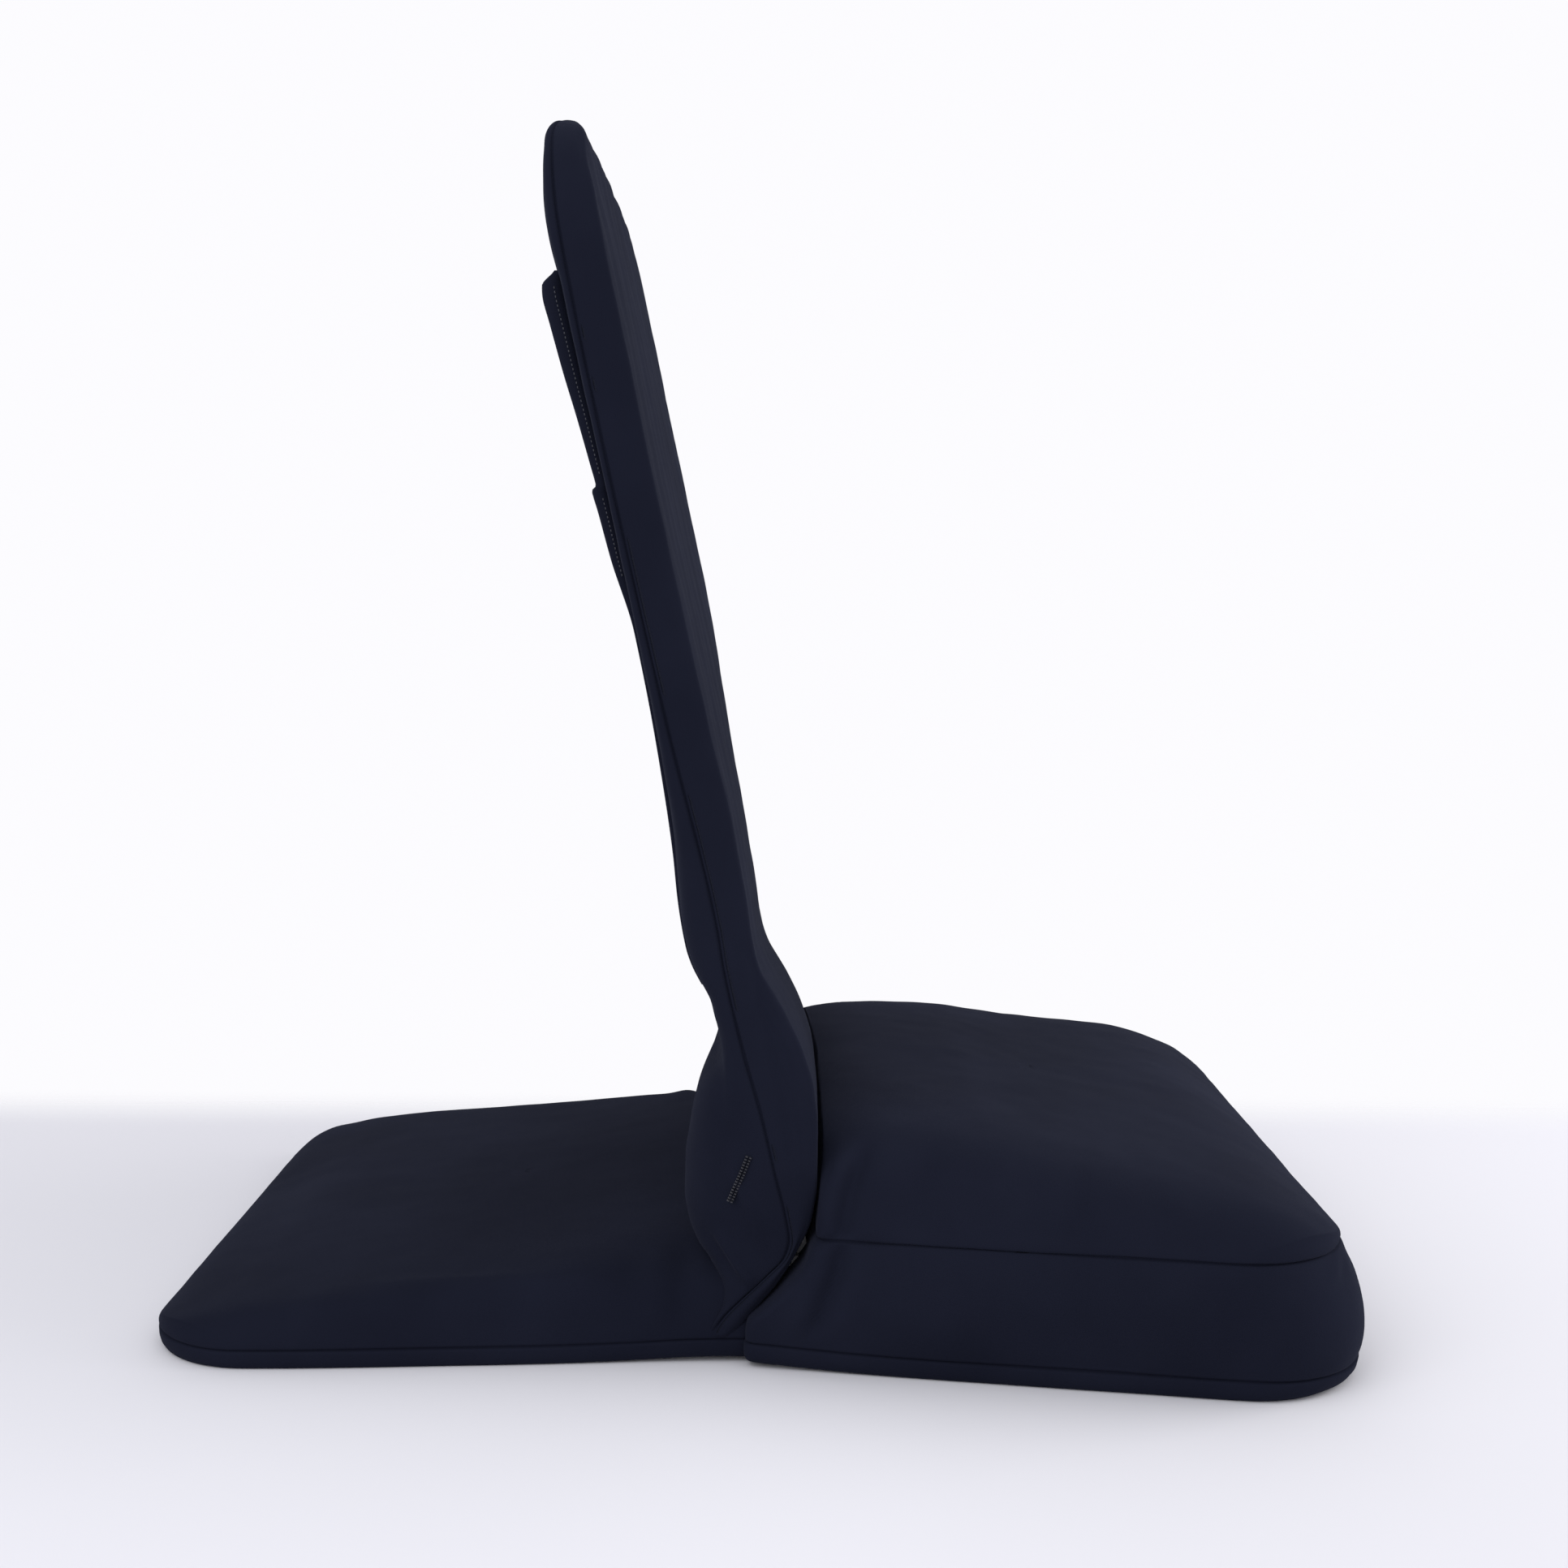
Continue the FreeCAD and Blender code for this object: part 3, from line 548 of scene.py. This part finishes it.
def leaf_outline(inset):
    """The seat's kind of outline, turned about so that its front is the leaf's tip"""
    flat = plan(
        LEAF_ROOT,
        -LEAF_END - inset,
        lambda x: leaf_half(-x) - inset,
        LEAF_ROOT_CORNER,
        LEAF_TIP_CORNER - 0.5 * inset,
    )
    return (flat * (-1, 1))[::-1]


def leaf_rings():
    rings = levels(leaf_outline(LEAF_FLOOR_INSET), floor_side, FLOOR_SHARES, LEAF_CENTRE)

    def add(inset, height_at):
        flat = leaf_outline(inset)
        rings.append(np.column_stack([flat, height_at(flat[:, 0])]))

    for angle in LOWER_ROUND:
        turn = math.radians(angle)
        up = 1 - math.cos(turn)
        add(LEAF_TUCK * (1 - math.sin(turn)), lambda x: underside(x) + LEAF_ROUND_RISE * up)
    for above, deep in GROOVE:
        add(LEAF_GROOVE_SHARE * deep * MM, lambda x: underside(x) + LEAF_SEAM + above * MM)
    rings += levels(leaf_outline(0.3 * MM), leaf_top_height, TOP_SHARES, LEAF_CENTRE)
    return np.array(rings)


def leaf_folds(rings):
    """A fold and a hollow at the sides of the root, a ridge along the near side and slight unevenness"""
    x, y, z = rings[..., 0], rings[..., 1], rings[..., 2]
    lift = 0.8 * MM * grain(rings, 0.09, 3) + 0.35 * MM * grain(rings, 0.025, 4)
    side = step_up(np.abs(y), 0.16, 0.21)
    root = step_up(z, 0.018, 0.035) * side
    lift += 2.0 * MM * bump(x, -0.088, 0.010) * root
    lift -= 2.2 * MM * bump(x, -0.070, 0.009) * root
    ridge = np.abs(y) - 0.212 - 0.10 * (x + 0.20)
    lift += 1.1 * MM * bump(ridge, 0.0, 0.007) * step_up(x, -0.30, -0.22) * step_up(-y, 0, 0.1)
    return rings + normals_of(rings) * (lift * step_up(z, 0.006, 0.02))[..., None]


def make_leaf():
    leaf = skin("rear_leaf_cover", leaf_folds(leaf_rings()), cotton)
    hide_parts("rear_top_panel", "underside_cover", "rear_foam", "rear_infill_pad")
    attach(leaf, "base")


# Back: the front edge, the seam behind the side strip and the rear face, as height and x

FRONT_EDGE = (
    (0.018, -0.0400), (0.028, -0.0310), (0.053, -0.0110), (0.074, 0.0015), (0.095, 0.0100),
    (0.120, 0.0130), (0.146, 0.0130), (0.175, 0.0105), (0.197, 0.0040), (0.222, -0.0075),
    (0.248, -0.0220), (0.265, -0.0272), (0.288, -0.0308), (0.318, -0.0365), (0.348, -0.0420),
    (0.377, -0.0489), (0.407, -0.0557), (0.450, -0.0658), (0.500, -0.0774), (0.600, -0.0987),
    (0.730, -0.1262), (0.800, -0.1410),
)
SIDE_SEAM = (
    (0.018, -0.0520), (0.0233, -0.0495), (0.030, -0.0450), (0.041, -0.0345), (0.0576, -0.0176),
    (0.0695, -0.0070), (0.080, -0.0042), (0.095, -0.0065), (0.121, -0.0130), (0.157, -0.0215),
    (0.197, -0.0330), (0.248, -0.0450), (0.278, -0.0500), (0.400, -0.0800), (0.537, -0.1115),
    (0.583, -0.1215), (0.640, -0.1335), (0.716, -0.1470), (0.800, -0.1550),
)
REAR_NEAR = (
    (0.018, -0.0550), (0.037, -0.0480), (0.046, -0.0490), (0.059, -0.0555), (0.068, -0.0630),
    (0.082, -0.0690), (0.097, -0.0715), (0.120, -0.0710), (0.138, -0.0682), (0.155, -0.0650),
    (0.169, -0.0605), (0.176, -0.0565), (0.184, -0.0495), (0.197, -0.0465), (0.207, -0.0475),
    (0.220, -0.0510), (0.248, -0.0650), (0.258, -0.0683), (0.288, -0.0735), (0.318, -0.0766),
    (0.377, -0.0854), (0.455, -0.0998), (0.500, -0.1092), (0.600, -0.1311), (0.660, -0.1440),
    (0.700, -0.1540), (0.729, -0.1562), (0.760, -0.1575), (0.800, -0.1590),
)
REAR_FAR = (
    (0.018, -0.0480), (0.030, -0.0540), (0.055, -0.0700), (0.074, -0.0640), (0.100, -0.0570),
    (0.123, -0.0530), (0.150, -0.0510), (0.185, -0.0510), (0.210, -0.0565), (0.248, -0.0654),
    (0.278, -0.0710), (0.318, -0.0760), (0.377, -0.0854), (0.455, -0.0998), (0.500, -0.1092),
    (0.600, -0.1311), (0.660, -0.1440), (0.700, -0.1530), (0.760, -0.1575), (0.800, -0.1590),
)
BACK_WIDTHS = (
    (0.0, 0.2235), (0.12, 0.2265), (0.20, 0.2215), (0.30, 0.2250), (0.50, BACK_HALF), (0.80, BACK_HALF),
)
FACE_POINTS = 36
STRIP_POINTS = 9
SHOULDER_POINTS = 30
CORNER_POINTS = 4
BACK_FOOT = 0.018
TOP_CORNER = 0.086
TOP_ROUND = 0.021
BACK_CREST = BACK_TOP - 2 * MM
CORNER_START = BACK_CREST - TOP_CORNER
EDGE_OUT = 0.003
EDGE_IN = 0.0025
THINNEST_STRIP = 0.006
THINNEST_REAR = 0.8 * MM
STRIP_SWELL = 1.5 * MM
FRONT_CROWN = 2.2 * MM
REAR_CROWN = 2.5 * MM
SHOULDER = 0.026
POUCH_SHOULDER = 0.034
FRONT_LAG = 0.072

# Creases at the sides, as height in millimetres, width and (height, x) points
BACK_CREASES = (
    (-4.0, 0.0042, ((0.050, -0.0265), (0.064, -0.0360), (0.080, -0.0475))),
    (2.2, 0.0050, ((0.050, -0.0340), (0.064, -0.0440), (0.080, -0.0550))),
    (-2.4, 0.0036, ((0.078, -0.0220), (0.100, -0.0300), (0.122, -0.0390))),
    (-2.0, 0.0034, ((0.150, -0.0400), (0.185, -0.0420), (0.225, -0.0510))),
    (1.5, 0.0040, ((0.130, -0.0020), (0.190, -0.0110), (0.262, -0.0300))),
    (-1.4, 0.0034, ((0.120, 0.0040), (0.180, -0.0020), (0.240, -0.0200))),
)


def back_half(z):
    into = np.clip((z - CORNER_START) / TOP_CORNER, 0, 1)
    return through(BACK_WIDTHS, z) - TOP_CORNER * (1 - np.sqrt(np.maximum(1 - into**2, 0)))


def front_edge(z, y):
    """The front's slack swells high on the near side and lower towards the far side"""
    across = np.clip((y + BACK_HALF) / (2 * BACK_HALF), 0, 1)
    lag = FRONT_LAG * across**2 * (1 - step_up(z, 0.25, 0.50)) * step_up(z, 0.06, 0.14)
    return through(FRONT_EDGE, z + lag)


def rear_edge(z, y):
    """The pouch behind the crease stands out on the near side only"""
    near = 1 - step_up(y, -0.17, -0.03)
    return through(REAR_NEAR, z) * near + through(REAR_FAR, z) * (1 - near)


def back_side(z, side, half, closing):
    """Half a ring of the back at one height: front face, side strip, seam, shoulder and rear face"""
    corner = np.linspace(0, math.pi / 2, CORNER_POINTS + 1)[1:]
    turn = np.linspace(0, math.pi / 2, SHOULDER_POINTS + 1)[1:]
    pouch = float(bump(z, 0.115, 0.065))
    reach = min(SHOULDER + POUCH_SHOULDER * pouch, 0.8 * half)
    groove_x = np.array([above * MM for above, _ in GROOVE[::-1]])
    groove_y = np.array([deep * MM for _, deep in GROOVE[::-1]])

    y_front = np.linspace(MIDLINE, half - EDGE_OUT, FACE_POINTS)
    edge = float(front_edge(z, side * half))
    seam = min(float(through(SIDE_SEAM, z)), edge - THINNEST_STRIP)
    strip = np.linspace(edge - EDGE_IN, seam + GROOVE_HALF, STRIP_POINTS + 1)[1:]
    bulge = np.sin(np.linspace(0, math.pi, STRIP_POINTS + 1)[1:]) ** SWELL_POWER
    rear = rear_edge(z, np.array([side * half]))[0]
    depth = max(seam - GROOVE_HALF - rear, THINNEST_REAR)
    y_rear = np.linspace(half - reach, MIDLINE, FACE_POINTS)[1:]
    x = [
        front_edge(z, side * y_front) + FRONT_CROWN * (1 - (y_front / half) ** 2),
        edge - EDGE_IN * (1 - np.cos(corner)),
        strip,
        seam + groove_x,
        seam - GROOVE_HALF - depth * np.sin(turn) ** 0.85,
        rear_edge(z, side * y_rear) - REAR_CROWN * (1 - pouch) * (1 - (y_rear / half) ** 2),
    ]
    y = [
        y_front,
        half - EDGE_OUT + EDGE_OUT * np.sin(corner),
        half + STRIP_SWELL * bulge,
        half - groove_y,
        half - reach * (1 - np.cos(turn)) ** 1.1,
        y_rear,
    ]
    x = np.concatenate(x)
    middle = (x[0] + x[-1]) / 2
    x = middle + (x - middle) * closing
    return np.column_stack([x, side * np.concatenate(y), np.full(len(x), z)])


def back_rings():
    heights = np.concatenate(
        [
            np.linspace(BACK_FOOT, 0.30, 110),
            np.linspace(0.304, CORNER_START, 90),
            BACK_CREST - TOP_CORNER * (1 - np.sin(np.linspace(0.04, math.pi / 2, 40))),
        ]
    )
    rings = []
    for z in heights:
        top_share = max(0.0, (z - (BACK_CREST - TOP_ROUND)) / TOP_ROUND)
        closing = math.sqrt(max(1 - top_share**2, 0.0))
        near, far = [back_side(z, side, float(back_half(z)), closing) for side in (-1, 1)]
        rings.append(np.concatenate([near, far[::-1]]))
    return np.array(rings)


def crease_line(x, z, points, width):
    """1 on a line through (height, x) points, falling off to both of its sides"""
    low, high = points[0][0], points[-1][0]
    ends = step_up(z, low - 0.008, low + 0.010) * (1 - step_up(z, high - 0.010, high + 0.008))
    return bump(x, through(points, z), width) * ends


def back_folds(rings):
    """Upright creases in the front, the roll beside the zipper and the creases at the sides"""
    x, y, z = rings[..., 0], rings[..., 1], rings[..., 2]
    front = front_edge(z, y)
    front_side = step_up(x, front - 0.006, front - 0.001) * step_up(z, 0.20, 0.34)
    upright = np.cos(y / 0.0062 + 1.6 * np.sin(z / 0.11) + 0.9 * np.sin(z / 0.037))
    upright += 0.6 * np.cos(y / 0.0113 - 1.1 * np.sin(z / 0.083))
    lift = 0.45 * MM * upright * front_side
    roll = bump(y, -0.2065, 0.012) * step_up(z, 0.26, 0.34) * (1 - step_up(z, 0.66, 0.72))
    lift += 1.0 * MM * roll * (1 - step_up(x, front - 0.030, front - 0.020))
    side = step_up(np.abs(y), 0.175, 0.205)
    for height, width, points in BACK_CREASES:
        lift += height * MM * side * crease_line(x, z, points, width)
    lift *= 1 - bump(x, through(SIDE_SEAM, z), FOLD_MARGIN) * side
    lift += 0.8 * MM * grain(rings, 0.08, 5) + 0.35 * MM * grain(rings, 0.02, 6)
    keep = 1 - step_up(z, BACK_CREST - 0.016, BACK_CREST - 0.002)
    return rings + normals_of(rings) * (lift * keep)[..., None]


def bend_with_back(piece):
    """Cloth from the crease at the foot up to the firm part of the back; this only bakes its placement into
    the mesh
    """
    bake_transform(piece)


def make_back():
    back = skin("back_cover", back_folds(back_rings()), cotton)
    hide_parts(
        "back_front_panel",
        "back_side_gusset",
        "back_rear_panel",
        "back_front_foam",
        "back_rear_foam",
        "rear_crease_cloth",
        "front_crease_cloth",
    )
    bend_with_back(back)


# Zipper: a tape whose near edge stands up in two waves, its closed teeth and a row of stitches

ZIP_Y = ZIP_LOW.y + (ZIP_HIGH.y - ZIP_LOW.y) / 2
ZIP_FOOT = 0.235
TOOTH_PITCH = 1.9 * MM
TOOTH_STEP = 0.98 * TOOTH_PITCH
TOOTH_OFFSET = 0.75 * MM
TOOTH_LIFT = 1.7 * MM
TOOTH_SIZE = (3.2 * MM, 1.25 * MM, 2.0 * MM)
SLIT_TOOTH_SIZE = (1.7 * MM, 1.1 * MM, 2.2 * MM)
SLIT_ROW = 1.15 * MM
STITCH_PITCH = 2.7 * MM
STITCH_SIZE = (1.3 * MM, 0.7 * MM, 0.6 * MM)
STITCH_RUNS = ((0.490, 0.537), (0.552, 0.664))
STITCH_Y = ZIP_Y - 21.7 * MM
STITCH_ALONG = (0.21, 0, -1)
STITCH_SHARE, STITCH_LEAST = 0.45, 1.5 * MM
TAPE_LIFT = 0.6 * MM

# From the tape's outer face to its inner one, as y and height
TAPE_INNER = (1.4 * MM, -0.3 * MM)

# Height and how far the tape's near edge stands up
TAPE_RISE = (
    (0.235, 0.0000), (0.400, 0.0000), (0.455, 0.0008), (0.500, 0.0058), (0.529, 0.0074), (0.541, 0.0083),
    (0.5445, 0.0050), (0.557, 0.0057), (0.585, 0.0075), (0.614, 0.0100), (0.642, 0.0118), (0.655, 0.0126),
    (0.664, 0.0112), (0.673, 0.0010),
)

# Across the tape from its far edge, as y from the teeth and height in millimetres, and share of the rise
TAPE_SECTION = (
    (14, 0.0, 0), (3, 0.4, 0), (-3, 0.4, 0), (-10, 0.6, 0), (-17, 0.8, 0), (-22, -2.5, 0), (-21, 0.9, 0.72),
    (-18.5, 0.9, 1),
)

# The open slit in the near side of the pouch, from its upper end
SLIT = (
    (-0.0295, -0.2262, 0.1330), (-0.0335, -0.2262, 0.1225), (-0.0380, -0.2258, 0.1120),
    (-0.0415, -0.2250, 0.1035),
)


def zip_face(z):
    """The x of the back's reverse under the zipper"""
    return float(through(REAR_NEAR, z))


def make_tape():
    heights = np.concatenate([np.linspace(ZIP_FOOT, 0.54, 90), np.linspace(0.542, 0.673, 80)])
    rings = []
    for z in heights:
        rise = float(through(TAPE_RISE, z))
        line = np.array([(ZIP_Y + y * MM, share * rise + up * MM) for y, up, share in TAPE_SECTION])
        loop = np.concatenate([line, line[::-1] + TAPE_INNER])
        x = zip_face(z) - TAPE_LIFT - loop[:, 1]
        rings.append(np.column_stack([x, loop[:, 0], np.full(len(loop), z)]))
    tape = skin("zipper_tape_cloth", np.array(rings)[:, ::-1], cotton)
    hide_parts("zipper_tape")
    bend_with_back(tape)


def small_block(vertices, faces, place, along, out, sizes):
    """Adds a little bevelled block at a place, its length along one direction and its height along another"""
    along = Vector(along).normalized()
    out = Vector(out).normalized()
    side = along.cross(out).normalized()
    length, width, height = sizes
    first = len(vertices)
    for level, shrink in ((-0.5, 1.0), (0.2, 1.0), (0.5, 0.55)):
        for a, s in ((-1, -1), (1, -1), (1, 1), (-1, 1)):
            spot = along * (a * length / 2 * shrink) + side * (s * width / 2 * shrink)
            spot = spot + out * (level * height)
            vertices.append(tuple(Vector(place) + spot))
    for base in (0, 4):
        for k in range(4):
            m = (k + 1) % 4
            faces.append((first + base + k, first + base + m, first + base + 4 + m, first + base + 4 + k))
    faces.append((first + 3, first + 2, first + 1, first))
    faces.append((first + 8, first + 9, first + 10, first + 11))


def block_piece(name, blocks, material):
    vertices, faces = [], []
    for block in blocks:
        small_block(vertices, faces, *block)
    return new_piece(name, vertices, faces, material)


def slit_teeth():
    """Two rows of teeth along the slit"""
    blocks = []
    slit = [Vector(p) for p in SLIT]
    lengths = [(b - a).length for a, b in zip(slit, slit[1:])]
    for row in (-1, 1):
        travelled = 0.0
        while travelled < sum(lengths):
            rest, part = travelled, 0
            while rest > lengths[part] and part < len(lengths) - 1:
                rest -= lengths[part]
                part += 1
            along = (slit[part + 1] - slit[part]).normalized()
            across = along.cross(Vector((0, 1, 0))).normalized()
            place = slit[part] + along * rest + across * (row * SLIT_ROW)
            blocks.append((tuple(place), tuple(across), (0, -1, 0), SLIT_TOOTH_SIZE))
            travelled += TOOTH_PITCH
    return blocks


def make_teeth():
    blocks = []
    for k in range(int((ZIP_HIGH.z - ZIP_FOOT) / TOOTH_STEP)):
        z = ZIP_FOOT + k * TOOTH_STEP
        x = zip_face(z) - TOOTH_LIFT
        slope = (zip_face(z + 0.01) - zip_face(z)) / 0.01
        shift = TOOTH_OFFSET * (1 if k % 2 else -1)
        blocks.append(((x, ZIP_Y + shift, z), (0, 1, 0), (-1, 0, slope), TOOTH_SIZE))
    teeth = block_piece("zipper_coil", blocks + slit_teeth(), teeth_nylon)
    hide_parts("zipper_chain")
    bend_with_back(teeth)


def make_stitches():
    blocks = []
    for low, high in STITCH_RUNS:
        for z in np.arange(low, high, STITCH_PITCH):
            rise = float(through(TAPE_RISE, z))
            x = zip_face(z) - max(STITCH_SHARE * rise, STITCH_LEAST)
            blocks.append(((x, STITCH_Y, float(z)), STITCH_ALONG, (0, -1, 0), STITCH_SIZE))
    stitches = block_piece("zipper_stitches", blocks, stitch_thread)
    bend_with_back(stitches)


# Room, light and camera

FLOOR_REACH = 8.0
FLOOR_COLOUR = (0.765, 0.757, 0.790, 1)
LIGHT_COLOUR = (0.95, 0.955, 1.0, 1)
LIGHT_STRENGTH = 0.93
SEEN_COLOUR = (0.975, 0.970, 0.995, 1)

# Where the floor fades into the white, as axis, start and end
FLOOR_FADES = ((1, 0.30, 0.44), (1, -1.10, -1.60), (0, 1.10, 1.60), (0, -1.10, -1.60))

CAMERA_PLACE = (-0.0126, -1.3993, 0.4811)
CAMERA_YAW, CAMERA_PITCH, CAMERA_ROLL = 0.003, 0.099, 0.006
CAMERA_LENS = 44.72
CAMERA_SENSOR = 36


def make_floor():
    mesh = bpy.data.meshes.new("floor")
    corners = [(x * FLOOR_REACH, y * FLOOR_REACH, 0) for x, y in ((-1, -1), (1, -1), (1, 1), (-1, 1))]
    mesh.from_pydata(corners, [], [(0, 1, 2, 3)])
    floor = bpy.data.objects.new("floor", mesh)
    bpy.context.scene.collection.objects.link(floor)
    material, nodes, links, shader = new_material("floor")
    shader.inputs["Base Color"].default_value = FLOOR_COLOUR
    shader.inputs["Roughness"].default_value = 0.9
    shader.inputs["Specular IOR Level"].default_value = 0.1
    split = nodes.new("ShaderNodeSeparateXYZ")
    links.new(nodes.new("ShaderNodeTexCoord").outputs["Object"], split.inputs[0])
    cleared = 0.0
    for axis, start, end in FLOOR_FADES:
        fade = nodes.new("ShaderNodeMapRange")
        fade.interpolation_type = "SMOOTHSTEP"
        fade.inputs["From Min"].default_value = start
        fade.inputs["From Max"].default_value = end
        links.new(split.outputs[axis], fade.inputs["Value"])
        cleared = math_node(nodes, links, "MAXIMUM", fade.outputs["Result"], cleared)
    clear = nodes.new("ShaderNodeBsdfTransparent")
    mix = nodes.new("ShaderNodeMixShader")
    links.new(cleared, mix.inputs[0])
    links.new(shader.outputs[0], mix.inputs[1])
    links.new(clear.outputs[0], mix.inputs[2])
    links.new(mix.outputs[0], nodes["Material Output"].inputs["Surface"])
    mesh.materials.append(material)


def make_world():
    """Even light all round, which the camera, mirrors and clear pieces see as white"""
    world = bpy.data.worlds.new("studio")
    bpy.context.scene.world = world
    world.use_nodes = True
    nodes, links = world.node_tree.nodes, world.node_tree.links
    background = nodes["Background"]
    background.inputs["Color"].default_value = LIGHT_COLOUR
    background.inputs["Strength"].default_value = LIGHT_STRENGTH
    seen = nodes.new("ShaderNodeBackground")
    seen.inputs["Color"].default_value = SEEN_COLOUR
    seen.inputs["Strength"].default_value = 1.0
    path = nodes.new("ShaderNodeLightPath")
    direct = math_node(nodes, links, "MAXIMUM", path.outputs["Is Camera Ray"], path.outputs["Is Glossy Ray"])
    direct = math_node(nodes, links, "MAXIMUM", direct, path.outputs["Is Transmission Ray"])
    mix = nodes.new("ShaderNodeMixShader")
    links.new(direct, mix.inputs[0])
    links.new(background.outputs[0], mix.inputs[1])
    links.new(seen.outputs[0], mix.inputs[2])
    links.new(mix.outputs[0], nodes["World Output"].inputs["Surface"])


def add_lamp(name, place, aim, size, power, colour):
    data = bpy.data.lights.new(name, "AREA")
    data.shape = "SQUARE"
    data.size = size
    data.energy = power
    data.color = colour
    lamp = bpy.data.objects.new(name, data)
    lamp.location = place
    lamp.rotation_mode = "QUATERNION"
    lamp.rotation_quaternion = (Vector(aim) - Vector(place)).to_track_quat("-Z", "Y")
    bpy.context.scene.collection.objects.link(lamp)


def make_camera():
    level = math.cos(CAMERA_PITCH)
    forward = Vector((math.sin(CAMERA_YAW) * level, math.cos(CAMERA_YAW) * level, -math.sin(CAMERA_PITCH)))
    right = Vector((math.cos(CAMERA_YAW), -math.sin(CAMERA_YAW), 0))
    up = right.cross(forward)
    turned_right = right * math.cos(CAMERA_ROLL) + up * math.sin(CAMERA_ROLL)
    turned_up = up * math.cos(CAMERA_ROLL) - right * math.sin(CAMERA_ROLL)
    data = bpy.data.cameras.new("camera")
    data.sensor_width = CAMERA_SENSOR
    data.lens = CAMERA_LENS
    camera = bpy.data.objects.new("camera", data)
    axes = Matrix((turned_right, turned_up, -forward)).transposed()
    camera.matrix_world = Matrix.Translation(CAMERA_PLACE) @ axes.to_4x4()
    bpy.context.scene.collection.objects.link(camera)
    bpy.context.scene.camera = camera


bpy.context.scene.view_settings.view_transform = "Standard"
dress_cad_nodes()
make_seat()
make_leaf()
make_back()
make_tape()
make_teeth()
make_stitches()
make_floor()
make_world()
add_lamp("key", (2.2, 0.1, 0.85), (0, 0, 0.45), 1.4, 24, (1, 0.99, 0.98))
add_lamp("fill", (-0.75, -1.25, 1.25), (-0.12, -0.2, 0.75), 1.2, 9, (0.95, 0.97, 1))
make_camera()
